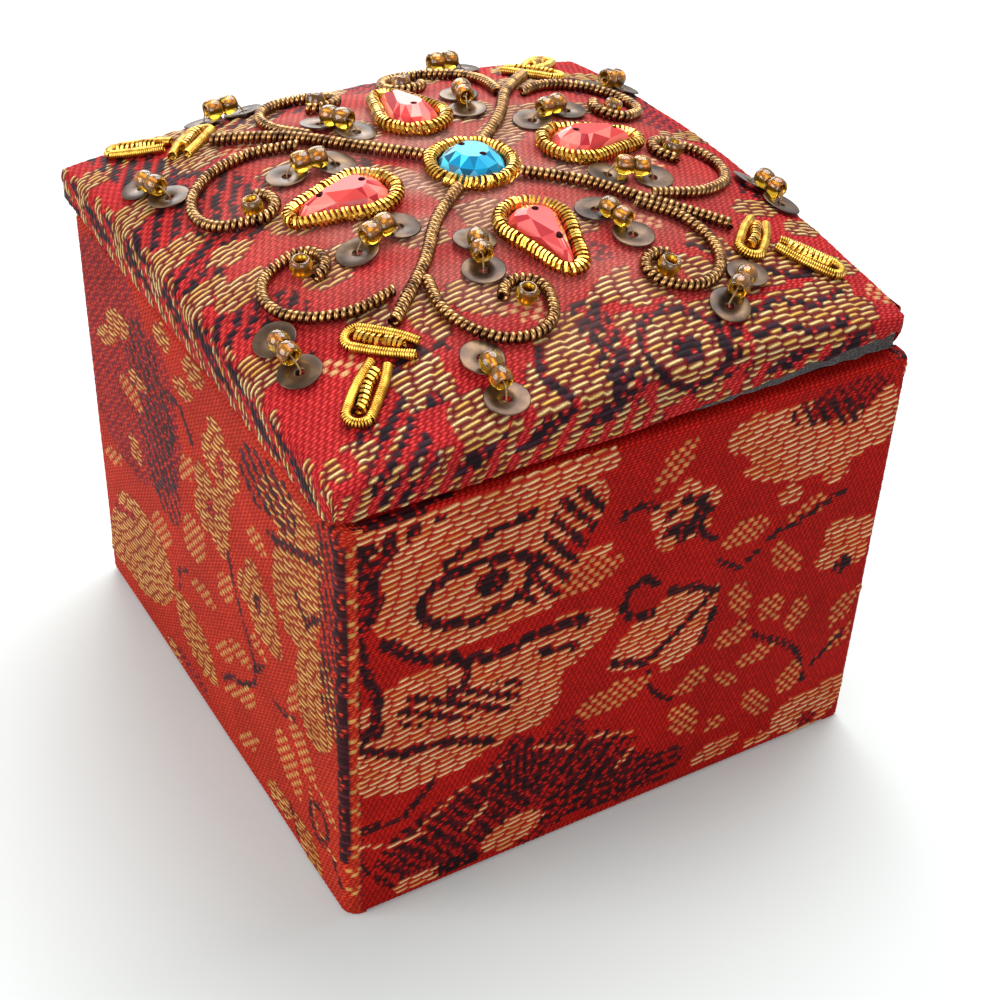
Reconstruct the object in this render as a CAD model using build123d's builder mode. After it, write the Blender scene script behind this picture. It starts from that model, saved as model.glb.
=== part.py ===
from build123d import *
from math import acos, atan2, cos, degrees, hypot, radians, sin, tan
import os

# A small cloth-covered keepsake box with a padded, embroidered lid.
# Millimetres, +Z up, origin at the bottom centre of the box body.
# The box opens at the front (-Y), and its cloth hinge is at the back (+Y).

# Body
body_width = 58.0
body_depth = 58.0
body_height = 45.7
wall_card = 1.3
wall_cloth = 0.35
turn_in = 7.0
fold_radius = 0.6
joint_gap = 0.08
felt_thickness = 0.8
base_card = 1.2
base_paper = 0.3
floor_pad_thickness = 1.2

# Lid
lid_width = 59.0
lid_depth = 59.0
lid_shift = -1.4
lid_rest_gap = 0.1
lid_card_thickness = 1.0
lid_felt_thickness = 0.3
lid_card_inset = 1.4
lid_board_thickness = 0.9
lid_cloth = 0.35
lid_corner_radius = 2.0
corner_height = 3.4
side_bulge = 2.2
crown_rise = 5.0
crown_power = 2.6
crown_steps = 14

# Cloth hinge
hinge_length = 52.0
hinge_cloth_thickness = 0.35
hinge_bulge = 0.9
hinge_leg = 8.0
hinge_lid_gap = 0.03

# Embroidery, laid out from the middle of the lid towards each corner
ornament_x = -2.0
ornament_y = 0.0
press_depth = 0.12
thread_gap = 0.1
stem_radius = 0.65
curl_radius = 0.6
border_radius = 0.65
leaf_radius = 0.5
leaf_fill_radius = 0.36
center_stone_radius = 3.1
center_stone_height = 2.1
stone_girdle = 0.5
stone_taper = 35.0
stone_sides = 10
tear_butt_radius = 2.4
tear_tip_radius = 0.6
tear_length = 5.6
tear_height = 2.0
tear_table = 0.55
tear_distance = 11.2
stone_hole_radius = 0.35
tear_hole_place = 0.35
tear_table_place = 0.4
center_hole_spacing = 2.6
tear_hole_spacing = 4.2
stem_reach = 24.2
stem_sway = 0.35
curl_eye_radius = 2.0
curl_turn = 395.0
curl_step = 24.0
curl_bow_share = 0.48
leaf_cross_place = 26.4
leaf_long_place = 28.6
leaf_length = 7.2
leaf_width = 3.1
leaf_fill_length = 3.6
leaf_taper = 0.85
sequin_radius = 1.95
sequin_hole_radius = 0.45
sequin_thickness = 0.15
sequin_sink = 0.03
bead_radius = 1.1
bead_hole_radius = 0.4
bead_length = 1.7
bead_end_share = 0.8

# Corners of the lid: direction from the middle, how far the stem strays sideways at its end,
# and how much further out the leaves lie
corners = {
    "front": (-45.0, 0.2, 0.0),
    "right": (45.0, 1.2, 0.0),
    "back": (135.0, 1.4, 1.2),
    "left": (225.0, -1.4, 1.8),
}

# Each curl: its eye (along the corner direction, across it), where it leaves the stem, its bow
curls = {
    "front": [(19.0, -9.8, 20.6, 1.2), (17.6, 9.6, 18.6, 1.2)],
    "right": [(20.2, -9.6, 15.6, 1.5), (16.4, 12.2, 16.6, 1.8)],
    "back": [(19.6, -10.2, 18.6, 1.2), (17.4, 11.0, 17.6, 1.5)],
    "left": [(18.8, -10.0, 16.4, 1.4), (17.0, 12.0, 16.6, 1.15)],
}

# Each pair of sequins: its middle (along, across), its turn from the corner direction, its spacing
sequin_pairs = {
    "front": [
        (14.0, -4.6, -28.0, 5.0),
        (13.8, 4.4, 26.0, 4.2),
        (28.8, -7.8, 46.0, 4.6),
        (27.0, 9.3, 44.0, 4.2),
    ],
    "right": [
        (14.4, -4.9, -30.0, 4.6),
        (14.0, 4.0, 26.0, 4.4),
        (26.5, -8.8, -98.0, 5.0),
        (26.0, 11.0, -36.0, 4.2),
    ],
    "back": [
        (13.9, 3.9, 26.0, 4.4),
        (14.0, -4.8, -28.0, 5.0),
        (26.8, 8.8, -45.0, 4.2),
        (29.0, -8.6, -25.0, 4.2),
    ],
    "left": [
        (14.0, 5.0, 36.0, 4.6),
        (14.4, -3.9, -20.0, 4.4),
        (28.0, 9.0, -30.0, 4.2),
        (28.0, -8.0, 45.0, 4.2),
    ],
}

# Levels that follow from the sizes above
panel_thickness = wall_card + 2 * wall_cloth
base_thickness = base_card + 2 * base_paper
inner_width = body_width - 2 * panel_thickness
inner_depth = body_depth - 2 * panel_thickness
lid_card_bottom = body_height + lid_rest_gap
lid_card_wrap = lid_card_thickness + 2 * lid_felt_thickness
lid_cover_bottom = lid_card_bottom + lid_card_wrap
lid_board_bottom = lid_cover_bottom + lid_cloth
wadding_bottom = lid_board_bottom + lid_board_thickness

os.makedirs("parts", exist_ok=True)


def finish(piece, label):
    piece.label = label
    export_step(piece, f"parts/{label}.step")


def finish_group(pieces, label):
    finish(Compound(pieces), label)


# A flat plate whose lower edge is centred on the plane's origin
def plate(plane, width, height, thickness, margin=0.0):
    with BuildPart() as sheet:
        with BuildSketch(plane):
            with Locations((0, height / 2)):
                Rectangle(width - 2 * margin, height - 2 * margin)
        extrude(amount=thickness)
    return sheet.part


# Cloth pulled round a card and turned in on the far side, with rounded folds
def wrap(plane, width, height, card, cloth):
    fold = min(fold_radius, 2 * cloth)
    with BuildPart() as cover:
        add(plate(plane, width, height, card + 2 * cloth))
        outer_face = cover.faces().sort_by(Axis(plane.origin, plane.z_dir))[0]
        fillet(outer_face.edges(), fold)
        add(plate(plane.offset(cloth), width, height, card, cloth), mode=Mode.SUBTRACT)
        add(plate(plane.offset(cloth + card), width, height, cloth, turn_in), mode=Mode.SUBTRACT)
    return cover.part


# Body walls: the front and back panels cover the ends of the side panels
front_plane = Plane((0, -body_depth / 2, 0), x_dir=(-1, 0, 0), z_dir=(0, 1, 0))
back_plane = Plane((0, body_depth / 2, 0), x_dir=(1, 0, 0), z_dir=(0, -1, 0))
left_plane = Plane((-body_width / 2, 0, 0), x_dir=(0, 1, 0), z_dir=(1, 0, 0))
right_plane = Plane((body_width / 2, 0, 0), x_dir=(0, -1, 0), z_dir=(-1, 0, 0))
side_width = inner_depth - 2 * joint_gap
walls = {
    "front": (front_plane, body_width),
    "back": (back_plane, body_width),
    "left": (left_plane, side_width),
    "right": (right_plane, side_width),
}
for side, (plane, width) in walls.items():
    card_plane = plane.offset(wall_cloth)
    finish(plate(card_plane, width, body_height, wall_card, wall_cloth), f"{side}_board")
    finish(wrap(plane, width, body_height, wall_card, wall_cloth), f"{side}_cover")

# Floor: a paper-covered card between the walls, standing on the table with them
base_width = inner_width - 2 * joint_gap
base_depth = inner_depth - 2 * joint_gap
base_plane = Plane((0, -base_depth / 2, 0), x_dir=(1, 0, 0), z_dir=(0, 0, 1))
finish(plate(base_plane.offset(base_paper), base_width, base_depth, base_card, base_paper), "base_board")
finish(wrap(base_plane, base_width, base_depth, base_card, base_paper), "base_cover")

# Velvet lining on the walls, up to the rim, and the pad on the floor
lining_height = body_height - base_thickness
lining_ends = inner_depth - 2 * felt_thickness - 2 * joint_gap
linings = {
    "front": (front_plane, inner_width),
    "back": (back_plane, inner_width),
    "left": (left_plane, lining_ends),
    "right": (right_plane, lining_ends),
}
for side, (plane, width) in linings.items():
    lining_plane = plane.offset(panel_thickness)
    lining_plane.origin += Vector(0, 0, base_thickness)
    finish(plate(lining_plane, width, lining_height, felt_thickness), f"{side}_lining")

pad_width = inner_width - 2 * felt_thickness - 2 * joint_gap
with BuildPart() as floor_pad:
    with BuildSketch(Plane.XY.offset(base_thickness)):
        Rectangle(pad_width, lining_ends)
    extrude(amount=floor_pad_thickness)
finish(floor_pad.part, "floor_pad")


# Height of the lid's cloth at a place on the lid: corners low, sides fuller, crowned middle
def crown(x, y):
    u = abs(x - lid_shift) / (lid_width / 2)
    v = abs(y) / (lid_depth / 2)
    side = side_bulge * (1 - (u * v) ** 2)
    rise = crown_rise * (1 - u**crown_power) * (1 - v**crown_power)
    return body_height + corner_height + side + rise


# Everything below the crown, lowered by some cloth, within the lid's outline above a level
def under_crown(level, cloth):
    reach = [-1.1 + 2.2 * i / crown_steps for i in range(crown_steps + 1)]
    rows = []
    for u in reach:
        x = lid_shift + u * lid_width / 2
        ys = [v * lid_depth / 2 for v in reach]
        rows.append([Vector(x, y, crown(x, y) - cloth) for y in ys])
    surface = Face.make_surface_from_array_of_points(rows, max_deg=5)
    depth = corner_height + side_bulge + crown_rise
    with BuildPart() as block:
        extrude(to_extrude=surface, amount=2 * depth, dir=(0, 0, -1))
        with BuildSketch(Plane.XY.offset(level)):
            with Locations((lid_shift, 0)):
                outline = (lid_width - 2 * cloth, lid_depth - 2 * cloth)
                RectangleRounded(*outline, lid_corner_radius - cloth)
        extrude(amount=2 * depth, mode=Mode.INTERSECT)
    return block.part


# Lid underside: a velvet-wrapped card, a little smaller than the lid
lid_card_width = lid_width - 2 * lid_card_inset
lid_card_depth = lid_depth - 2 * lid_card_inset
card_origin = (lid_shift, -lid_card_depth / 2, lid_card_bottom)
card_plane = Plane(card_origin, x_dir=(1, 0, 0), z_dir=(0, 0, 1))
card_seat = card_plane.offset(lid_felt_thickness)
felt = lid_felt_thickness
finish(plate(card_seat, lid_card_width, lid_card_depth, lid_card_thickness, felt), "lid_card")
finish(wrap(card_plane, lid_card_width, lid_card_depth, lid_card_thickness, felt), "lid_felt")

# Lid board, padding and the brocade pulled over both
with BuildPart() as lid_board:
    with BuildSketch(Plane.XY.offset(lid_board_bottom)):
        with Locations((lid_shift, 0)):
            board_outline = (lid_width - 2 * lid_cloth, lid_depth - 2 * lid_cloth)
            RectangleRounded(*board_outline, lid_corner_radius - lid_cloth)
    extrude(amount=lid_board_thickness)
finish(lid_board.part, "lid_board")
finish(under_crown(wadding_bottom, lid_cloth), "lid_wadding")

with BuildPart() as lid_cover:
    add(under_crown(lid_cover_bottom, 0.0))
    add(under_crown(lid_board_bottom, lid_cloth), mode=Mode.SUBTRACT)
    with BuildSketch(Plane.XY.offset(lid_cover_bottom)):
        with Locations((lid_shift, 0)):
            Rectangle(lid_width - 2 * turn_in, lid_depth - 2 * turn_in)
    extrude(amount=lid_cloth, mode=Mode.SUBTRACT)
finish(lid_cover.part, "lid_cover")

# Cloth hinge: one leg on the back wall, a small loop at the gap, one leg on the lid's edge
strip_half = hinge_cloth_thickness / 2
wall_line = body_depth / 2 + strip_half
lid_line = lid_depth / 2 + hinge_lid_gap + strip_half
loop_bottom = body_height - fold_radius
loop_top = lid_cover_bottom + fold_radius
with BuildPart() as hinge_cloth:
    with BuildSketch(Plane.YZ.offset(-hinge_length / 2)):
        with BuildLine():
            wall_leg = Line((wall_line, body_height - hinge_leg), (wall_line, loop_bottom))
            loop_middle = (lid_line + hinge_bulge, (loop_bottom + loop_top) / 2)
            loop = ThreePointArc(wall_leg @ 1, loop_middle, (lid_line, loop_top))
            lid_leg = Line(loop @ 1, (lid_line, body_height + corner_height))
        trace(line_width=hinge_cloth_thickness)
    extrude(amount=hinge_length)
finish(hinge_cloth.part, "hinge_cloth")


# A place on the lid, given along and across one corner's direction
def spot(corner, along, across):
    angle, stray, leaf_reach = corners[corner]
    across += stray * along / stem_reach
    turn = radians(angle)
    x = ornament_x + along * cos(turn) - across * sin(turn)
    y = ornament_y + along * sin(turn) + across * cos(turn)
    return x, y


# A plane lying on the lid's cloth, its X axis turned to an angle seen from above
def seat(x, y, angle=0.0, lift=0.0):
    reach = 0.5
    slope_x = (crown(x + reach, y) - crown(x - reach, y)) / (2 * reach)
    slope_y = (crown(x, y + reach) - crown(x, y - reach)) / (2 * reach)
    ahead = (cos(radians(angle)), sin(radians(angle)))
    rise = ahead[0] * slope_x + ahead[1] * slope_y
    place = Plane((x, y, crown(x, y)), x_dir=(*ahead, rise), z_dir=(-slope_x, -slope_y, 1))
    return place.offset(lift)


def turn_angle(before, corner_point, after):
    return (corner_point - before).get_angle(after - corner_point)


# A round thread laid on the cloth through places on the lid, its corners eased by large arcs
def thread(places, radius):
    lift = radius - press_depth
    points = [Vector(x, y, crown(x, y) + lift) for x, y in places]
    eases = []
    for before, here, after in zip(points, points[1:], points[2:]):
        shorter = min((here - before).length, (after - here).length)
        half_turn = radians(turn_angle(before, here, after)) / 2
        eases.append(0.45 * shorter / tan(half_turn))
    with BuildPart() as tube:
        with BuildLine() as route:
            FilletPolyline(*points, radius=eases)
        start = Plane(route.line @ 0, z_dir=route.line % 0)
        with BuildSketch(start):
            Circle(radius)
        sweep()
    return tube.part


# A purl bent into a teardrop on a plane, its round end on the plane's origin and its tip along X:
# one half runs round the butt, down the side and round the tip, and the other half mirrors it
def teardrop_ring(place, butt, tip, length, radius):
    lean = acos((butt - tip) / length)
    side_start = (butt * cos(lean), butt * sin(lean))
    side_end = (length + tip * cos(lean), tip * sin(lean))
    start = place.from_local_coords(Vector(-butt, 0, 0))
    with BuildPart() as tube:
        with BuildLine(place):
            CenterArc((0, 0), butt, 180, degrees(lean) - 180)
            Line(side_start, side_end)
            CenterArc((length, 0), tip, degrees(lean), -degrees(lean))
        with BuildSketch(Plane(start, z_dir=place.y_dir)):
            Circle(radius)
        sweep()
        mirror(about=Plane(place.origin, x_dir=place.x_dir, z_dir=place.y_dir))
    return tube.part


# Outline of a teardrop, its round end on the plane's origin and its tip along X
def tear_outline(plane, butt, tip, length, shift=0.0):
    with BuildSketch(plane) as outline:
        with Locations((shift, 0)):
            Circle(butt)
        with Locations((shift + length, 0)):
            Circle(tip)
        make_hull()
    return outline.sketch.face()


# Center stone, round and faceted, with its two sewing holes
center_seat = seat(ornament_x, ornament_y)
with BuildPart() as center_stone:
    with BuildSketch(center_seat):
        RegularPolygon(center_stone_radius, stone_sides)
    extrude(amount=stone_girdle)
    with BuildSketch(center_seat.offset(stone_girdle)):
        RegularPolygon(center_stone_radius, stone_sides)
    extrude(amount=center_stone_height - stone_girdle, taper=stone_taper)
    with BuildSketch(center_seat):
        with GridLocations(center_hole_spacing, 0, 2, 1):
            Circle(stone_hole_radius)
    extrude(amount=center_stone_height, mode=Mode.SUBTRACT)
finish(center_stone.part, "center_stone")

# Gold border round it
border_seat = seat(ornament_x, ornament_y, 0.0, border_radius - press_depth)
center_path_radius = center_stone_radius + border_radius + thread_gap
with BuildPart() as center_border:
    with BuildSketch(Plane(border_seat.origin, x_dir=border_seat.x_dir, z_dir=border_seat.y_dir)):
        with Locations((center_path_radius, 0)):
            Circle(border_radius)
    revolve(axis=Axis(border_seat.origin, border_seat.z_dir))
finish(center_border.part, "center_border")


# Coral teardrop stones, tips outward, towards the middles of the four sides
def teardrop_stone(place):
    hole_middle = tear_length * tear_hole_place
    table_shift = tear_length * (1 - tear_table) * tear_table_place
    with BuildPart() as stone:
        girdle = tear_outline(place, tear_butt_radius, tear_tip_radius, tear_length)
        extrude(to_extrude=girdle, amount=stone_girdle, dir=place.z_dir)
        shoulder = place.offset(stone_girdle)
        top = place.offset(tear_height)
        sizes = (tear_butt_radius, tear_tip_radius, tear_length)
        table_sizes = [tear_table * size for size in sizes]
        lower = tear_outline(shoulder, *sizes)
        upper = tear_outline(top, *table_sizes, table_shift)
        loft(sections=[lower, upper], ruled=True)
        with BuildSketch(place):
            with Locations((hole_middle, 0)):
                with GridLocations(tear_hole_spacing, 0, 2, 1):
                    Circle(stone_hole_radius)
        extrude(amount=tear_height, mode=Mode.SUBTRACT)
    return stone.part


def teardrop_border(place):
    grow = border_radius + thread_gap
    level = place.offset(border_radius - press_depth)
    sizes = (tear_butt_radius + grow, tear_tip_radius + grow, tear_length)
    return teardrop_ring(level, *sizes, border_radius)


tear_seats = []
for quarter in range(4):
    angle = 90.0 * quarter
    tear_x = ornament_x + tear_distance * cos(radians(angle))
    tear_y = ornament_y + tear_distance * sin(radians(angle))
    tear_seats.append(seat(tear_x, tear_y, angle))
finish_group([teardrop_stone(place) for place in tear_seats], "teardrop_stones")
finish_group([teardrop_border(place) for place in tear_seats], "teardrop_borders")

# Stems from the center border to the leaves at the corners
stem_start = center_stone_radius + 2 * border_radius + 2 * thread_gap
stems = []
for number, (corner, (angle, stray, leaf_reach)) in enumerate(corners.items()):
    sway = stem_sway if number % 2 else -stem_sway
    stem_length = stem_reach + leaf_reach - stem_start
    bends = [(0.0, 0.0), (0.3, sway), (0.62, -sway), (1.0, 0.0)]
    places = [spot(corner, stem_start + share * stem_length, bend) for share, bend in bends]
    stems.append(thread(places, stem_radius))
finish_group(stems, "stem_purls")


# A curl leaves the stem in a wide bow and closes round its eye
def curl_places(corner, eye_along, eye_across, leave_along, bow):
    side = 1 if eye_across > 0 else -1
    beside_stem = side * (stem_radius + curl_radius + 3 * thread_gap)
    start_along = leave_along - eye_along
    start_across = beside_stem - eye_across
    wide = hypot(start_along, start_across)
    first = degrees(atan2(start_across, start_along))
    steps = round(curl_turn / curl_step)
    bow_steps = curl_bow_share * steps
    places = []
    for step in range(steps + 1):
        left = max(0.0, 1 - step / bow_steps)
        reach = curl_eye_radius + (wide - curl_eye_radius) * left**bow
        angle = radians(first + side * step * curl_step)
        along = eye_along + reach * cos(angle)
        across = eye_across + reach * sin(angle)
        places.append(spot(corner, along, across))
    return places


curl_tubes = []
for corner, pair in curls.items():
    for curl in pair:
        curl_tubes.append(thread(curl_places(corner, *curl), curl_radius))
finish_group(curl_tubes, "curl_purls")


# A smooth purl bent into a pointed loop, with a rough purl laid inside
def leaf_loop(place):
    half = leaf_width / 2 - leaf_radius
    level = place.offset(leaf_radius - press_depth)
    level.origin = level.from_local_coords(Vector(half, 0, 0))
    return teardrop_ring(level, half, half * leaf_taper, leaf_length - leaf_width, leaf_radius)


def leaf_fill(place):
    level = place.offset(leaf_fill_radius - press_depth)
    middle = (leaf_length - leaf_fill_length) / 2 - leaf_radius
    start = level.from_local_coords(Vector(middle, 0, 0))
    with BuildPart() as tube:
        with BuildSketch(Plane(start, x_dir=level.y_dir, z_dir=level.x_dir)):
            Circle(leaf_fill_radius)
        extrude(amount=leaf_fill_length)
    return tube.part


leaf_seats = []
for corner, (angle, stray, leaf_reach) in corners.items():
    cross_x, cross_y = spot(corner, leaf_cross_place + leaf_reach, -leaf_length / 2)
    leaf_seats.append(seat(cross_x, cross_y, angle + 90))
    long_x, long_y = spot(corner, leaf_long_place + leaf_reach, 0)
    leaf_seats.append(seat(long_x, long_y, angle))
finish_group([leaf_loop(place) for place in leaf_seats], "leaf_loops")
finish_group([leaf_fill(place) for place in leaf_seats], "leaf_fills")


def sequin(place):
    with BuildPart() as disc:
        with BuildSketch(place):
            Circle(sequin_radius)
            Circle(sequin_hole_radius, mode=Mode.SUBTRACT)
        extrude(amount=sequin_thickness)
    return disc.part


# A glass seed bead, rounded, standing on a plane with its hole upright
def bead(place):
    half = bead_length / 2
    end_radius = bead_end_share * bead_radius
    with BuildPart() as glass:
        with BuildSketch(Plane(place.origin, x_dir=place.x_dir, z_dir=-place.y_dir)):
            with BuildLine():
                hole_top = (bead_hole_radius, half)
                hole_bottom = (bead_hole_radius, -half)
                Polyline((end_radius, half), hole_top, hole_bottom, (end_radius, -half))
                ThreePointArc((end_radius, -half), (bead_radius, 0), (end_radius, half))
            make_face()
        revolve(axis=Axis(place.origin, place.z_dir))
    return glass.part


sequins = []
seed_beads = []
for corner, pairs in sequin_pairs.items():
    for along, across, turn, spacing in pairs:
        pair_angle = corners[corner][0] + turn
        middle_x, middle_y = spot(corner, along, across)
        for way in (-1, 1):
            step_x = way * cos(radians(pair_angle))
            step_y = way * sin(radians(pair_angle))
            disc_x = middle_x + step_x * spacing / 2
            disc_y = middle_y + step_y * spacing / 2
            sequins.append(sequin(seat(disc_x, disc_y, 0.0, -sequin_sink)))
            bead_reach = (bead_length + thread_gap) / 2
            bead_lift = sequin_thickness + bead_radius + thread_gap
            lying = seat(middle_x, middle_y, pair_angle, bead_lift)
            middle = lying.from_local_coords(Vector(way * bead_reach, 0, 0))
            seed_beads.append(bead(Plane(middle, x_dir=lying.y_dir, z_dir=lying.x_dir)))
finish_group(sequins, "sequins")
finish_group(seed_beads, "seed_beads")

# Beads sewn upright in the eyes of the curls
curl_beads = []
for corner, pair in curls.items():
    for eye_along, eye_across, leave_along, bow in pair:
        eye_x, eye_y = spot(corner, eye_along, eye_across)
        curl_beads.append(bead(seat(eye_x, eye_y, 0.0, bead_length / 2 - press_depth)))
finish_group(curl_beads, "curl_beads")
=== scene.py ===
import math
import bpy
import numpy as np
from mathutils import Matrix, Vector


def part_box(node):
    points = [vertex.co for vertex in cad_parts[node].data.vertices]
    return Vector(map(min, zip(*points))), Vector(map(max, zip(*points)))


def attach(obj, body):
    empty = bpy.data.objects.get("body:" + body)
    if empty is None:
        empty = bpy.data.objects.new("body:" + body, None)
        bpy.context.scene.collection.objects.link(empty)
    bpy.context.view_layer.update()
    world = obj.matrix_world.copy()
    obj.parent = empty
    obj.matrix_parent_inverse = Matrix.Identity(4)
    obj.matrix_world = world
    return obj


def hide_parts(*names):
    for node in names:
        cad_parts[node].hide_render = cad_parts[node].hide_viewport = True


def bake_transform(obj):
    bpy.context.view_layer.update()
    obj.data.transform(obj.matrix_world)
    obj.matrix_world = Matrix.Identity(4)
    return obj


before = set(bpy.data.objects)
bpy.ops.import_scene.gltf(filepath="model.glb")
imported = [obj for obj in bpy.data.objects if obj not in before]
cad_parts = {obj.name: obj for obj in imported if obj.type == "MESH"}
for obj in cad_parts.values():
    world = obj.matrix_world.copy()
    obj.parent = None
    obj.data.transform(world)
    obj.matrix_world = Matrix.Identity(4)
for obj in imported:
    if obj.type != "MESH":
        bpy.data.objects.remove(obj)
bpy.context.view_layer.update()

mm = 0.001

# Camera, at the place that the photograph was taken from, in millimetres and degrees
view = {
    "azimuth": 55.05, "elevation": 38.85, "roll": 4.70,
    "distance": 195.95, "aim": (0, 0, 25), "side": 10.91, "lift": -8.68,
    "lens": 69.57, "shift": (-0.08, 0.04),
}


def buildCamera():
    azimuth = math.radians(view["azimuth"])
    elevation = math.radians(view["elevation"])
    roll = math.radians(view["roll"])
    back = Vector((
        math.sin(azimuth) * math.cos(elevation),
        -math.cos(azimuth) * math.cos(elevation),
        math.sin(elevation),
    ))
    right = (-back).cross(Vector((0, 0, 1))).normalized()
    up = right.cross(-back)
    rolledRight = math.cos(roll) * right + math.sin(roll) * up
    rolledUp = math.cos(roll) * up - math.sin(roll) * right
    place = Vector(view["aim"]) + back * view["distance"]
    place += rolledRight * view["side"] + rolledUp * view["lift"]
    data = bpy.data.cameras.new("camera")
    data.lens = view["lens"]
    data.sensor_width = 36
    data.shift_x, data.shift_y = view["shift"]
    data.clip_start = 0.01
    camera = bpy.data.objects.new("camera", data)
    bpy.context.scene.collection.objects.link(camera)
    matrix = camera.matrix_world.to_3x3()
    for row in range(3):
        matrix[row] = (rolledRight[row], rolledUp[row], back[row])
    camera.matrix_world = matrix.to_4x4()
    camera.location = place * mm
    bpy.context.scene.camera = camera


buildCamera()
print("camera in place")


# Colours are written as sRGB hex and turned to linear here
def linear(colour):
    parts = [int(colour[i:i + 2], 16) / 255 for i in (1, 3, 5)]
    return [p / 12.92 if p <= 0.04045 else ((p + 0.055) / 1.055) ** 2.4 for p in parts]


def rgba(colour):
    return (*linear(colour), 1.0)


# Adds one node with its settings; a value in inputs is a number, a colour or another node's socket
def addNode(tree, kind, inputs=None, **settings):
    node = tree.nodes.new(kind)
    for name, value in settings.items():
        setattr(node, name, value)
    for name, value in (inputs or {}).items():
        if isinstance(value, bpy.types.NodeSocket):
            tree.links.new(value, node.inputs[name])
        else:
            node.inputs[name].default_value = value
    return node


def newMaterial(name):
    material = bpy.data.materials.new(name)
    material.use_nodes = True
    tree = material.node_tree
    surface = tree.nodes["Principled BSDF"]
    return material, tree, surface


def mixColour(tree, factor, first, second, blend="MIX"):
    sockets = {0: factor, 6: first, 7: second}
    return addNode(tree, "ShaderNodeMix", sockets, data_type="RGBA", blend_type=blend).outputs[2]


def bump(tree, surface, height, strength, distance):
    node = addNode(tree, "ShaderNodeBump", {"Height": height, "Strength": strength, "Distance": distance})
    tree.links.new(node.outputs[0], surface.inputs["Normal"])


def noise(tree, perMetre, detail=3.0, stretch=None):
    place = addNode(tree, "ShaderNodeTexCoord").outputs["Object"]
    if stretch:
        place = addNode(tree, "ShaderNodeMapping", {"Vector": place, "Scale": stretch}).outputs[0]
    return addNode(tree, "ShaderNodeTexNoise", {"Vector": place, "Scale": perMetre, "Detail": detail})


def ramp(tree, value, stops):
    node = addNode(tree, "ShaderNodeValToRGB", {"Fac": value})
    points = node.color_ramp.elements
    while len(points) < len(stops):
        points.new(0.5)
    for point, (place, colour) in zip(points, stops):
        point.position = place
        point.color = rgba(colour)
    return node.outputs[0]


# A finish with one grain: its colours from the grain, and bumps of the same grain where it has any
def grainedMaterial(name, perMetre, detail, stops, roughness, strength=0.0, depth=0.0, **sockets):
    material, tree, surface = newMaterial(name)
    grain = noise(tree, perMetre, detail)
    tree.links.new(ramp(tree, grain.outputs[0], stops), surface.inputs["Base Color"])
    surface.inputs["Roughness"].default_value = roughness
    for socket, value in sockets.items():
        surface.inputs[socket].default_value = value
    if strength:
        bump(tree, surface, grain.outputs[0], strength, depth)
    return material


# Silk brocade: spun ground threads and flat gilt wefts, each with its own colour on the mesh, which also
# carries painted highlights and painted shade;
# the eye sees a dull gleam on every float and matt pits between
def brocadeMaterial():
    material, tree, surface = newMaterial("silkBrocade")
    thread = addNode(tree, "ShaderNodeAttribute", attribute_name="threadColourAndLight")
    fibre = noise(tree, 9000, 2.0)  # filaments about 0.1 mm across
    patch = noise(tree, 160, 4.0)  # fading in patches of about 6 mm
    fine = ramp(tree, fibre.outputs[0], [(0.3, "#b4b4b4"), (0.7, "#ffffff")])
    broad = ramp(tree, patch.outputs[0], [(0.3, "#cfcaca"), (0.7, "#ffffff")])
    colour = mixColour(tree, 1.0, thread.outputs[0], fine, "MULTIPLY")
    colour = mixColour(tree, 0.6, colour, broad, "MULTIPLY")
    tree.links.new(colour, surface.inputs["Base Color"])
    rough = addNode(tree, "ShaderNodeMapRange", {
        "Value": thread.outputs["Alpha"], "To Min": 0.8, "To Max": 0.36,
    })
    tree.links.new(rough.outputs[0], surface.inputs["Roughness"])
    gilt = addNode(tree, "ShaderNodeMapRange", {
        "Value": thread.outputs["Alpha"], "From Min": 0.8, "From Max": 1.0, "To Max": 0.2,
    })
    tree.links.new(gilt.outputs[0], surface.inputs["Metallic"])
    surface.inputs["Specular IOR Level"].default_value = 0.07
    bump(tree, surface, fibre.outputs[0], 0.35, 0.00006)
    return material


# Cotton velvet, worn: short grey pile that looks pale at a grazing angle
def velvetMaterial():
    material, tree, surface = newMaterial("greyVelvet")
    pile = noise(tree, 5200, 4.0)
    crush = noise(tree, 260, 3.0)
    colour = ramp(tree, pile.outputs[0], [(0.3, "#211d1e"), (0.55, "#474242"), (0.8, "#7a7474")])
    shade = ramp(tree, crush.outputs[0], [(0.3, "#8f8f90"), (0.7, "#ffffff")])
    tree.links.new(mixColour(tree, 0.8, colour, shade, "MULTIPLY"), surface.inputs["Base Color"])
    surface.inputs["Roughness"].default_value = 0.95
    surface.inputs["Specular IOR Level"].default_value = 0.15
    surface.inputs["Sheen Weight"].default_value = 0.2
    surface.inputs["Sheen Roughness"].default_value = 0.45
    bump(tree, surface, pile.outputs[0], 0.8, 0.00025)
    return material


# Book cloth pasted on paper: dark red, with a fine plain weave
def bookClothMaterial():
    material, tree, surface = newMaterial("redBookCloth")
    across = noise(tree, 2600, 1.0, (1, 0.15, 1))
    along = noise(tree, 2600, 1.0, (0.15, 1, 1))
    weave = mixColour(tree, 0.5, across.outputs[1], along.outputs[1])
    colour = ramp(tree, weave, [(0.35, "#35090d"), (0.6, "#5c1419")])
    tree.links.new(colour, surface.inputs["Base Color"])
    surface.inputs["Roughness"].default_value = 0.8
    bump(tree, surface, weave, 0.5, 0.0001)
    return material


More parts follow.
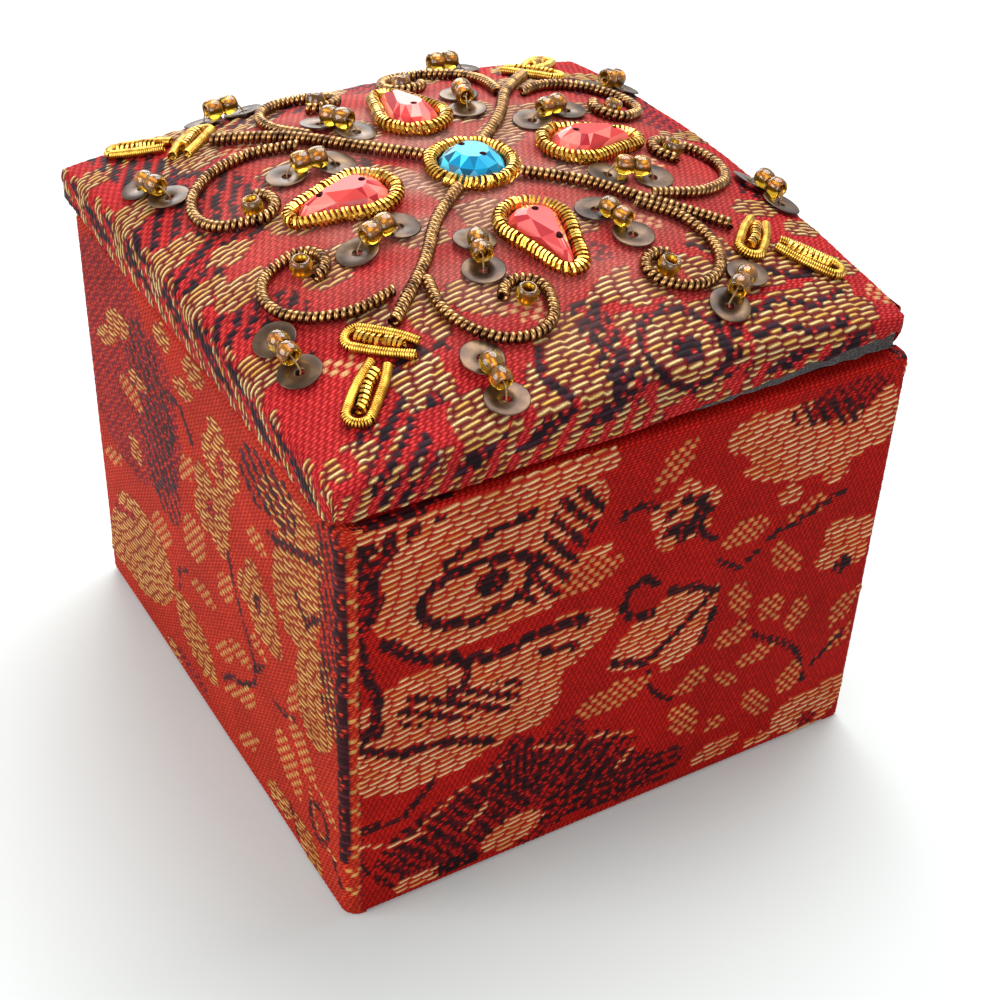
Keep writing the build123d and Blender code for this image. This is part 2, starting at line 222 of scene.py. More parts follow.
# Gilt copper purl: bright coiled wire, its colour a little deeper where the gilding has worn
def purlMaterial(name, bright, deep, roughness):
    material, tree, surface = newMaterial(name)
    wear = noise(tree, 900, 4.0)
    colour = ramp(tree, wear.outputs[0], [(0.32, deep), (0.62, bright)])
    tree.links.new(colour, surface.inputs["Base Color"])
    surface.inputs["Metallic"].default_value = 1.0
    surface.inputs["Roughness"].default_value = roughness
    scratch = noise(tree, 12000, 2.0)
    bump(tree, surface, scratch.outputs[0], 0.15, 0.00003)
    return material


# Moulded acrylic stone with a foil back: each facet gets its own depth of colour, a painted reflection
# running from deep to flash
def stoneMaterial(name, deep, body, flash):
    material, tree, surface = newMaterial(name)
    facet = addNode(tree, "ShaderNodeAttribute", attribute_name="facet")
    cloud = noise(tree, 500, 2.0)
    depth = ramp(tree, facet.outputs["Fac"], [(0.1, deep), (0.5, body), (0.95, flash)])
    haze = ramp(tree, cloud.outputs[0], [(0.3, "#d8d8d8"), (0.7, "#ffffff")])
    tree.links.new(mixColour(tree, 0.7, depth, haze, "MULTIPLY"), surface.inputs["Base Color"])
    surface.inputs["Roughness"].default_value = 0.2
    surface.inputs["IOR"].default_value = 1.49
    surface.inputs["Specular IOR Level"].default_value = 0.25
    return material


brocade = brocadeMaterial()
velvet = velvetMaterial()
bookCloth = bookClothMaterial()
brightPurl = purlMaterial("brightGiltWire", "#e6b854", "#9c6c22", 0.22)
smoothPurl = purlMaterial("smoothGiltWire", "#dcae4c", "#9c6e24", 0.26)
antiquePurl = purlMaterial("antiqueBronzeWire", "#a27a4c", "#4c3220", 0.25)
beadLining = purlMaterial("giltLining", "#b8882a", "#6e4a12", 0.3)
blueStone = stoneMaterial("blueAcrylic", "#024a68", "#0a8cbc", "#48c6ea")
coralStone = stoneMaterial("coralAcrylic", "#a8242c", "#e04a46", "#ff8c80")

# Grey board, pressed from waste paper: flecked and matt
greyBoard = grainedMaterial("greyBoard", 2200, 5.0, [(0.3, "#8a7d68"), (0.5, "#b3a58d"), (0.75, "#c9bda6")],
                            0.9, 0.4, 0.0001)
# Pressed film sequin: taupe, metallised, dulled by handling
sequinFilm = grainedMaterial("taupeFilm", 420, 4.0, [(0.3, "#20150e"), (0.5, "#443021"), (0.72, "#6c543a")],
                             0.34, 0.2, 0.00008, Metallic=0.65)
# Amber seed glass: clear body, and a gilt lining that shines from inside the hole
beadGlass = grainedMaterial("amberGlass", 900, 2.0, [(0.3, "#cf9a1c"), (0.7, "#eec440")], 0.04,
                            **{"IOR": 1.52, "Transmission Weight": 0.94})
# Waxed sewing thread, spun from two strands: dull, with a faint streak
sewingThread = grainedMaterial("sewingThread", 7000, 2.0, [(0.3, "#5b3a1c"), (0.7, "#a98352")], 0.6)
# The inside of a drilled hole in a stone: rough and deep red, its darkness painted shade down in the hole
shadedHole = grainedMaterial("shadedHole", 3000, 2.0, [(0.3, "#2a060a"), (0.7, "#5a0e16")], 0.7)
print("materials made")


# Makes a mesh piece from points in millimetres
def addPiece(name, points, faces, materials, smooth=True):
    mesh = bpy.data.meshes.new(name)
    vertices = (np.asarray(points, float) * mm).tolist()
    faces = faces.tolist() if isinstance(faces, np.ndarray) else faces
    mesh.from_pydata(vertices, [], [tuple(face) for face in faces])
    for material in materials:
        mesh.materials.append(material)
    mesh.polygons.foreach_set("use_smooth", [smooth] * len(mesh.polygons))
    mesh.update()
    piece = bpy.data.objects.new(name, mesh)
    bpy.context.scene.collection.objects.link(piece)
    return piece


# Which body a piece moves with, and which nodes it stands for
def settle(piece, body, nodes):
    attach(piece, body)
    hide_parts(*nodes)


# Faces of a grid of points, rows by columns, closed into a ring where asked
def gridFaces(rows, columns, closeRows=False, closeColumns=False):
    index = np.arange(rows * columns).reshape(rows, columns)
    if closeRows:
        index = np.vstack([index, index[:1]])
    if closeColumns:
        index = np.hstack([index, index[:, :1]])
    a, b = index[:-1, :-1], index[:-1, 1:]
    c, d = index[1:, 1:], index[1:, :-1]
    return np.stack([a, b, c, d], -1).reshape(-1, 4)


# Joins several sets of points and faces into one
def gather(sets):
    points, faces, start = [], [], 0
    for setPoints, setFaces in sets:
        points.append(setPoints)
        faces.append(np.asarray(setFaces) + start)
        start += len(setPoints)
    return np.vstack(points), np.vstack(faces)


# The same for faces with uneven numbers of corners
def gatherUneven(sets):
    points, faces, start = [], [], 0
    for setPoints, setFaces in sets:
        points.append(setPoints)
        faces += [tuple(start + i for i in face) for face in setFaces]
        start += len(setPoints)
    return np.vstack(points), faces


def unit(vectors):
    return vectors / np.maximum(np.linalg.norm(vectors, axis=-1, keepdims=True), 1e-9)


# The box of a frame node, in millimetres
def boxOf(node):
    return [np.array(corner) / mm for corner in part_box(node)]


def arc(radius, turns, x=0.0, y=0.0):
    return [(x + radius * math.cos(turn), y + radius * math.sin(turn)) for turn in turns]


# Places in a frame that stands at x, y and is turned by an angle
def onPlane(x, y, angle, places):
    turn = math.radians(angle)
    cosine, sine = math.cos(turn), math.sin(turn)
    return [(x + a * cosine - b * sine, y + a * sine + b * cosine) for a, b in places]


# A tube along a line of centres, round in the plane of two directions
def tubeRound(centres, radius, first, second, sides, shift=0.0):
    ring = (np.linspace(0, 2 * math.pi, sides, endpoint=False) + shift)[None, :, None]
    tube = centres[:, None] + radius * (np.cos(ring) * first[:, None] + np.sin(ring) * second[:, None])
    return tube.reshape(-1, 3), gridFaces(len(centres), sides, closeColumns=True)


# Soft random relief: a few sine waves in random directions, from -1 to 1
def ripple(u, v, wavelength, count, seed):
    waves = np.random.default_rng(seed)
    total = np.zeros(np.broadcast(u, v).shape)
    for _ in range(count):
        turn, phase, stretch = waves.random(3)
        reach = 2 * math.pi / (wavelength * (0.7 + 0.6 * stretch))
        angle = turn * math.pi
        total = total + np.sin(reach * (u * math.cos(angle) + v * math.sin(angle)) + phase * 2 * math.pi)
    return total / math.sqrt(count) / 1.6


# Woven motifs are painted on the weave's cells, in millimetres on the face: s along the wefts, t across them
def insideBlob(s, t, middleS, middleT, radiusS, radiusT, turn=0.0):
    angle = math.radians(turn)
    along = (s - middleS) * math.cos(angle) + (t - middleT) * math.sin(angle)
    across = (t - middleT) * math.cos(angle) - (s - middleS) * math.sin(angle)
    return (along / radiusS) ** 2 + (across / radiusT) ** 2 < 1


def insideLeaf(s, t, middleS, middleT, length, width, turn=0.0):
    angle = math.radians(turn)
    along = ((s - middleS) * math.cos(angle) + (t - middleT) * math.sin(angle)) / (length / 2)
    across = ((t - middleT) * math.cos(angle) - (s - middleS) * math.sin(angle)) / (width / 2)
    return np.abs(across) < np.clip(1 - along ** 2, 0, 1) ** 0.8


def insideLine(s, t, width, *places):
    nearest = np.full(np.broadcast(s, t).shape, 1e9)
    for (s0, t0), (s1, t1) in zip(places, places[1:]):
        runS, runT = s1 - s0, t1 - t0
        share = ((s - s0) * runS + (t - t0) * runT) / (runS ** 2 + runT ** 2)
        share = np.clip(share, 0, 1)
        nearest = np.minimum(nearest, np.hypot(s - s0 - share * runS, t - t0 - share * runT))
    return nearest < width / 2


def insidePetals(s, t, middleS, middleT, radius, count, turn=0.0):
    angle = np.arctan2(t - middleT, s - middleS) - math.radians(turn)
    reach = radius * (0.66 + 0.34 * np.abs(np.cos(angle * count / 2)))
    return np.hypot(s - middleS, t - middleT) < reach


def insideRing(s, t, middleS, middleT, radiusS, radiusT, width):
    outer = insideBlob(s, t, middleS, middleT, radiusS + width / 2, radiusT + width / 2)
    inner = insideBlob(s, t, middleS, middleT, radiusS - width / 2, radiusT - width / 2)
    return outer & ~inner


# A plume: short barbs that alternate along a curved spine
def insidePlume(s, t, width, pitch, lean, *places):
    turn = math.radians(lean)
    barbShare = 0.52
    onBarb = np.mod(s * math.cos(turn) + t * math.sin(turn), pitch) < pitch * barbShare
    return insideLine(s, t, width, *places) & onBarb


shapes = {
    "blob": insideBlob, "leaf": insideLeaf, "line": insideLine, "petals": insidePetals,
    "ring": insideRing, "plume": insidePlume,
}
kinds = {"ground": 0, "gold": 1, "dark": 2, "half": 3, "maroon": 4}

# Brocade: sizes of the weave and the colour of each thread on each face
weave = {
    "rowPitch": 0.62, "linesInRow": 4, "columnPitch": 0.285,
    "floatHeight": 0.15, "darkHeight": 0.07, "groundHeight": 0.055,
    "floatLength": 1.85, "floatGap": 0.28, "floatLean": 0.26, "floatSide": 0.1,
    "archPower": 0.35,  # low: a float rises steeply at its ends and runs flat between
    "lengthSpread": 0.28, "stepOn": 0.62, "stepStray": 0.25,  # shares of a float's length, from row to row
}
# One brocade on every face; each face's palette is partly painted light, set for how light falls on that
# face, so the palettes are lit and shaded copies. In each palette the top colours are painted highlight and
# the pit colours painted shade
facePalettes = {
    "right": {
        "groundLitTop": "#d8241a", "groundShadedPit": "#840300", "gold": "#ffe2a4", "goldDeep": "#e6ad5c",
        "goldShadedPit": "#a4160c", "dark": "#1c0408", "darkTopSheen": "#4a0f18", "half": "#cf8248", "maroon": "#560a10",
    },
    "front": {
        "groundLitTop": "#e04a2e", "groundShadedPit": "#98180a", "gold": "#ffd878", "goldDeep": "#d8a244",
        "goldShadedPit": "#8c2010", "dark": "#2a0d12", "darkTopSheen": "#5c222c", "half": "#d09450", "maroon": "#74202a",
    },
    "lid": {
        "groundLitTop": "#ea4640", "groundShadedPit": "#940e16", "gold": "#ffeba6", "goldDeep": "#f0c45a",
        "goldShadedPit": "#6c0f18", "dark": "#1a0a12", "darkTopSheen": "#4a2632", "half": "#e0a870", "maroon": "#5c1a2a",
    },
}

# What is woven on each face, bottom layer first
rightMotifs = [
    ("maroon", "blob", (-26, 41, 5, 2.5)),
    ("gold", "line", (2.6, (-28, 44), (-4, 44.9))),
    ("dark", "plume", (2.2, 2.3, 0, (-27.4, 43.4), (-17, 44))),
    ("dark", "line", (1.2, (-29, 46.3), (-19, 46.5))),
    ("gold", "blob", (-17, 37, 9.5, 7.6, -8), (-8, 41, 4.5, 3.4), (-18, 22, 11, 6.6, -6),
     (-12, 19, 5, 3.2), (-16.4, 35.5, 3.2, 1.9)),
    ("gold", "leaf", (-9, 33, 14, 5, 18), (-9, 25, 16, 7, 14), (-22, 17, 16, 5.5, -8),
     (19, 37.6, 16, 5, -6), (4.2, 22.6, 13.5, 7.2, 24), (6.6, 20.4, 8, 4.6, 60),
     (12.6, 2.6, 6.6, 2.6, 12), (18.4, 1.4, 4, 1.8)),
    ("half", "leaf", (-5, 32.5, 8, 3.6, 12), (3.4, 42, 6.5, 2.8, 50), (12.4, 31, 6, 3.2, 10),
     (20, 31.2, 6, 2.4, 12), (18, 26, 6, 2.6, -48), (13, 22.6, 5.4, 2.6, -70)),
    ("dark", "ring", (-16.2, 35.4, 5.6, 3.1, 1.2)),
    ("dark", "blob", (-14.9, 35.9, 1.7, 1.4), (-26.4, 23.3, 1.4, 1)),
    ("dark", "line", (0.9, (-19.5, 39.4), (-15, 41.4), (-11, 42)),
     (1.3, (-25, 33), (-22.5, 30.4), (-18, 28), (-13.5, 27), (-9.5, 28), (-5, 27.4)),
     (1.1, (-26.4, 40.6), (-25.6, 38), (-27.6, 34.5), (-27, 31), (-25.7, 27), (-26.2, 23.4)),
     (1, (-28, 21.8), (-23.5, 19.3), (-18.5, 18.6), (-14, 16.4)),
     (1, (-18.4, 29), (-17, 26.6), (-17.4, 24.6), (-19.4, 23.8)), (0.8, (-9.5, 25.4), (-5.5, 24.6)),
     (0.8, (-2, 38), (0, 38.8), (2.6, 37.3))),
    ("dark", "plume", (5.5, 1.7, 40, (-9.5, 34), (-6.5, 40.5)), (4, 1.5, 60, (-22, 24), (-13, 21.5))),
    ("maroon", "line", (1, (-28, 35), (-28, 24))),
    ("dark", "plume", (3.5, 1.1, 90, (-27.5, 37), (-27.5, 43))),
    ("gold", "petals", (5, 35.8, 4, 5, 20)),
    ("dark", "petals", (5.4, 35.4, 2.9, 7)),
    ("gold", "blob", (4.7, 35.9, 1.5, 0.9, 20), (17.5, 41, 6.8, 3.4, -8), (12, 42.5, 3, 2.2),
     (17.2, 33.8, 1.5, 1.1), (22.4, 34.4, 1.6, 1), (24, 3, 4.4, 2.8), (27, 4.6, 2.4, 1.8)),
    ("dark", "line", (0.9, (6.5, 33.5), (8.8, 31.6)),
     (0.8, (9.4, 24.8), (7, 22.6), (4.4, 20.6), (2.6, 19)), (0.9, (4.4, 27.2), (7.6, 26.4), (9.8, 25)),
     (1, (2.9, 28.8), (1.4, 29.8), (-0.4, 28.9), (-0.8, 27), (0.3, 25.6), (2.6, 25.2)),
     (0.9, (-1.2, 20.4), (2, 19.2)), (0.9, (10, 22.6), (8.8, 19)),
     (0.6, (3, 17.4), (3.6, 14.8), (6.2, 12.4)),
     (0.7, (13.4, 19.6), (16, 16.6), (20, 14), (22.2, 11.5), (23, 7.6)),
     (0.7, (15.5, 29.4), (19, 30.2), (24, 32)), (0.6, (9.5, 28.6), (12.4, 26.8), (14.6, 28.4))),
    ("maroon", "blob", (22.8, 43.2, 4.8, 2), (24.4, 1.6, 1.2, 0.9), (-17, 7, 8, 4.6, 10),
     (0, 4.6, 6, 3.4, -12)),
    ("dark", "plume", (2.6, 1.3, 30, (17, 43.2), (26.5, 40.4))),
    ("gold", "petals", (27, 39.5, 3.4, 4), (25.4, 25, 3.9, 4, 30)),
    ("half", "leaf", (13, 18, 4.6, 3, 10), (17, 20, 4.4, 2.8, -60), (20.6, 17.6, 5, 2.8, 80),
     (8.6, 14, 4.6, 2.8, 20), (16, 14, 5, 2.4, 10), (-1, 16, 9.5, 3.4, 8), (8, 9, 5.6, 3.2, -60),
     (17, 7, 5.6, 3, -50), (21, 9, 4.6, 3.2, 80), (26.6, 16, 5, 2.8, 60), (12.6, 12.4, 3.6, 1.6, -30),
     (27, 12, 4, 2, 40)),
    ("dark", "blob", (25.4, 22.3, 1.2, 1)),
    ("dark", "line", (0.6, (24, 9.8), (27.4, 12.6)), (0.8, (-28, 11.2), (-23, 11), (-20.2, 14.2)),
     (0.9, (-28.4, 8), (-27, 5.4))),
    ("maroon", "petals", (-9, 8, 8.5, 7, 10)),
    ("dark", "plume", (8.5, 1.35, 40, (-22, 5), (-12, 9)), (7, 1.3, -35, (-11, 11.5), (-1, 8)),
     (5, 1.2, 80, (-6, 4), (6, 4))),
    ("gold", "line", (0.5, (-21.5, 8.6), (-17, 11.6), (-13, 12.6)), (0.5, (-9.5, 13.6), (-5, 11.4)),
     (0.5, (-3.5, 11.8), (1.6, 10.2)), (0.5, (-16.6, 6), (-14.4, 8.2)), (0.5, (0.4, 6), (2, 8)),
     (0.45, (-28, 9.4), (-24.4, 7.8), (-21, 8))),
    ("gold", "leaf", (-11.4, 3, 7.5, 4, 14)),
    ("gold", "blob", (-21.6, 1.6, 2.6, 1.1)),
    ("dark", "blob", (-17.2, 1.6, 2.8, 1)),
    ("half", "blob", (12, 6.4, 1.2, 1)),
]
frontMotifs = [
    ("half", "plume", (2.2, 2.7, 90, (29.8, 3), (29.8, 46))),
    ("dark", "line", (0.9, (30.6, 0), (30.6, 46))),
    ("maroon", "blob", (-20, 33, 12, 13), (-9.5, 33, 5, 9)),
    ("dark", "plume", (9, 1.6, 40, (-13, 37), (-10, 25))),
    ("dark", "line", (1.2, (-7.4, 35), (-6.4, 33), (-7.6, 30.6)),
     (1.1, (-6.6, 26.6), (-9.6, 25), (-12.6, 22.6)), (0.8, (-7.6, 37), (-4, 37.6), (-1.6, 35.2))),
    ("gold", "leaf", (-19, 38, 7.5, 3, 20), (-22.6, 34.6, 7, 2.2, 28), (-14.8, 34, 5, 1.8, 8),
     (-7.2, 43.4, 4.4, 3, 20), (0, 43.8, 5, 3, 10), (-2.8, 40.2, 4.8, 2.2, 10), (14.9, 23.6, 5, 3.6, 40),
     (-4.6, 8.6, 11.5, 6.4, -26), (-25, 6, 9, 5, 40), (-20, 14.4, 11, 3.2, 18), (15, 3.2, 6, 3.4, 10),
     (21, 2.8, 7, 4, -22)),
    ("gold", "blob", (-17.4, 24, 1.6, 1.7), (20.6, 34.6, 4.6, 7.6, -18)),
    ("half", "blob", (-17, 31, 3, 1.4)),
    ("gold", "petals", (5.2, 37.4, 4.4, 4, 15), (2.4, 30, 4.8, 4, 35), (11.8, 26, 4.4, 4, 10)),
    ("maroon", "blob", (5.2, 37, 1, 1.1), (2.2, 30, 1, 1)),
    ("dark", "blob", (11.9, 25.8, 0.9, 1)),
    ("half", "leaf", (12.2, 33.4, 4.8, 2.4, 8), (-3.4, 31, 5.4, 2.4, 50), (-2.8, 22.8, 7.4, 5, 50),
     (4.4, 22, 5.4, 3, 55), (-12, 17.4, 5.6, 4.4, 20), (-1.4, 16.8, 6.4, 2.4, 12),
     (7, 15.8, 5.4, 2.2, 12), (3, 13, 5, 2.4, 30), (18.8, 20, 5.6, 1.8, 62), (11.4, 20.2, 4, 1.8, -10),
     (8, 5, 6.4, 2, 40), (4.6, 9, 5.2, 1.8, 35), (8, 11, 5.4, 2.6, 40)),
    ("dark", "line",
     (0.7, (5.6, 27), (6.6, 23.6), (8.6, 20.2), (10.6, 17.4), (10.2, 14.6), (7.4, 12.2), (4, 10.4), (2, 8.6)),
     (0.8, (10.4, 16.6), (12.4, 18.4)), (0.7, (14.6, 16), (17, 16.4), (19, 17.4)),
     (0.6, (-8, 12.6), (-7.6, 15.6), (-5, 17))),
    ("gold", "blob", (23.8, 24, 4, 6.6, -12), (20, 41, 6.4, 3), (-18.6, 9.6, 9.6, 5.4, 24),
     (-10.8, 2, 2.2, 0.9)),
    ("dark", "plume", (6, 1.7, 60, (12.4, 41), (18, 41.6)), (4, 1.1, 20, (27, 44), (27, 24))),
    ("dark", "line", (0.9, (15, 36.2), (18, 37.2), (25, 40.2)),
     (0.8, (20.4, 33.6), (22.4, 31.6), (24.4, 34)), (1.4, (28.4, 44), (28.4, 8)),
     (0.7, (17.4, 4.8), (18.6, 2)), (0.8, (26.6, 5.6), (28, 4))),
    ("maroon", "line", (0.9, (-26, 11.2), (-19.6, 13.6)), (0.9, (-27, 17), (-22.6, 20))),
    ("half", "leaf", (-24.4, 18.4, 6, 2, 25), (20.6, 14.6, 7.6, 3.6, -40), (17.4, 10.4, 7.4, 4.6, -50),
     (25.6, 11.6, 4.4, 1.6, -40)),
    ("dark", "ring", (23.6, 8, 1.8, 2.2, 0.8)),
    ("gold", "line", (0.5, (22, 11), (23.4, 7), (27, 6.2))),
    ("maroon", "blob", (-6, 2.6, 4, 1.2)),
]
lidMotifs = [  # the first number of each place runs back along the lid, the second to the right
    ("gold", "plume", (5, 2.3, 50, (-31.4, -32), (-31.4, 32)), (5, 2.1, 20, (-26, 31.4), (24, 31.4))),
    ("dark", "plume", (3, 3.1, 20, (-31, -30), (-31, 26)), (2.6, 4.1, 50, (-20, 31), (26, 31))),
    ("gold", "blob", (18.5, 24.5, 7.5, 6), (13.6, 27.6, 5, 3.2), (10, 28, 2.6, 2.4)),
    ("gold", "leaf", (22.5, 20.6, 9, 5, 20)),
    ("dark", "line", (0.8, (25, 21.5), (21, 22.6), (18, 21.4), (15, 22.6)),
     (0.7, (24, 25), (20, 26.2), (16.5, 25), (13, 26)),
     (0.7, (22.4, 28.4), (18, 28.7), (14.5, 27.6), (11.5, 28.2))),
    ("ground", "line", (0.7, (22, 23.4), (17.4, 23.6), (14, 24.6))),
    ("ground", "blob", (28.6, 28, 4.2, 4.6), (5.2, 27.2, 6.6, 6.8)),
    ("half", "blob", (28.4, 25.8, 1.4, 1.7), (17.6, 3.6, 0.9, 1.4)),
    ("gold", "leaf", (24.6, 27.6, 3.6, 4.4, 40), (4.6, 21.2, 6, 3.4), (2, 20, 7, 2.4, -30),
     (8.4, 18.6, 3.6, 3.6, 30), (-9, 27.5, 4, 5), (-8, 16.8, 9, 5.4, 20), (-18.3, 14.6, 4.6, 4, 60)),
    ("gold", "petals", (5.2, 27.4, 6.2, 7, 20), (-17.8, 22.8, 3.1, 4, 45)),
    ("dark", "ring", (5.2, 27.5, 3.9, 3.9, 0.9)),
    ("gold", "ring", (5.2, 27.6, 2.6, 2.7, 1.3)),
    ("dark", "blob", (5.2, 27.7, 1.5, 1.3), (-17.8, 24.8, 0.8, 0.7)),
    ("dark", "plume", (2.6, 1.6, 70, (11.4, 24), (8.6, 30))),
    ("ground", "line", (0.6, (6.2, 22.4), (3.6, 23.2), (1, 22.4))),
    ("gold", "blob", (-4.2, 25.6, 3.8, 4.8), (-15.2, 27.8, 2.6, 2.6), (-13.8, 16.4, 1.9, 3.4),
     (-3.8, 1.4, 1.9, 2.2)),
    ("dark", "plume", (3.6, 1.4, 60, (-1.2, 22), (-1.6, 30)), (6, 1.6, 50, (-22.5, 24.4), (-22.8, 30)),
     (4.4, 1.5, 40, (-23.6, 8.8), (-28.4, 7.4)), (3, 1.5, 40, (25, 8), (28.6, 11))),
    ("dark", "line", (0.9, (-0.6, 22.4), (-2.4, 24.4), (-1, 26.6), (-2.8, 29.4)),
     (0.8, (-7.4, 23.6), (-8.6, 26.4), (-7.2, 29)), (0.7, (-14, 20.4), (-17, 19.6), (-20.4, 21)),
     (0.7, (-24, 15), (-27, 17))),
    ("ground", "blob", (-11.6, 24, 2, 3)),
    ("half", "leaf", (-6, 19.8, 5, 2.6, 30), (-22.6, 18, 4, 2, 30), (9.6, 12.6, 5, 3.6, 30),
     (13.8, 10, 3, 6, 80)),
    ("gold", "line", (0.5, (-21.4, 26.2), (-23.6, 28.2)), (0.5, (-22.8, 25.2), (-25, 27))),
    ("gold", "leaf", (-26.4, 27, 3.2, 5, 80), (-28.4, 14, 4.6, 4.4, 70), (-25.2, 4.2, 4, 6, 70),
     (-18, 6.8, 4.8, 6.4, 60), (-9.4, 7, 5.4, 4.6, 50), (-2.6, 6.8, 6, 5.6, 50), (12, 21, 6.6, 4, 60),
     (14.4, 17.2, 4.4, 3.2, 30), (23.6, 12, 3.4, 6, 80), (26.6, 21.2, 5, 3, 10), (27.2, 15, 3, 6, 70),
     (19.5, -9.6, 13, 3.6), (27, -4, 3.4, 8, 80), (26, -20, 8, 6, 30), (20, -25, 9, 6, -20),
     (16, -18, 7, 5, 30), (11, -27, 8, 5, 20), (6, -12, 5, 7, 60), (6.4, -24, 4, 8, 80)),
    ("ground", "blob", (-26.5, 27, 0.8, 1.3), (-27.4, 22.4, 2.6, 3.4)),
    ("dark", "line", (0.7, (12.4, 17), (15.6, 18.6))),
    ("maroon", "blob", (25, -9, 3, 5), (23, -15, 4, 3)),
    ("dark", "plume", (5, 1.6, 30, (28, -14), (18, -22))),
    ("maroon", "leaf", (2, -27, 7, 7, 20), (0.6, -9, 5, 3, 60), (2.4, 15, 6, 3, 20)),
    ("dark", "plume", (6, 1.7, 60, (4, -30), (-4, -28))),
    ("gold", "leaf", (-3, -26.5, 4.6, 7, 70), (-12, -24, 6, 9, 60), (-20, -19, 8, 6, -30)),
    ("dark", "plume", (6, 1.6, 50, (-7, -25), (-16, -26))),
    ("gold", "leaf", (-20, -28, 9, 3.4, 10), (-27.6, -24, 3.6, 7, 75)),
    ("dark", "line", (0.9, (-16, -16), (-20, -15), (-23, -17))),
    ("dark", "plume", (5, 1.5, 30, (-24.4, -28), (-24.4, -17)), (6, 1.6, 60, (-23, -3), (-29, -1)),
     (6, 1.7, 30, (-21, -12), (-27.6, -10))),
    ("gold", "leaf", (-28, -14, 4, 9, 80), (-28, -5, 3.6, 8, 80), (-28.4, 2, 3.4, 6, 80),
     (-15, -9, 5, 5, 30), (-18, -1, 6, 3.4, 50), (-11.4, -1.4, 4, 4.4, 30), (-24, -1, 4.4, 3),
     (3, 10.5, 7, 4, 35), (8.6, 4.4, 8, 4.4, 20), (-7, -2.6, 7, 4, 60), (6.4, -6, 8, 4.4, 130),
     (-5.6, -13, 7, 4.6, 100), (12, -10, 8, 4, 10), (-12.4, 3.6, 5, 3.4, 120)),
    ("half", "leaf", (-15, -16, 6, 4, 20)),
    ("dark", "plume", (4, 1.5, 20, (-17, -8), (-23, -6))),
    ("dark", "leaf", (8.6, 0.6, 4, 2, 70), (-9.4, -7, 5, 2.4, 20)),
]
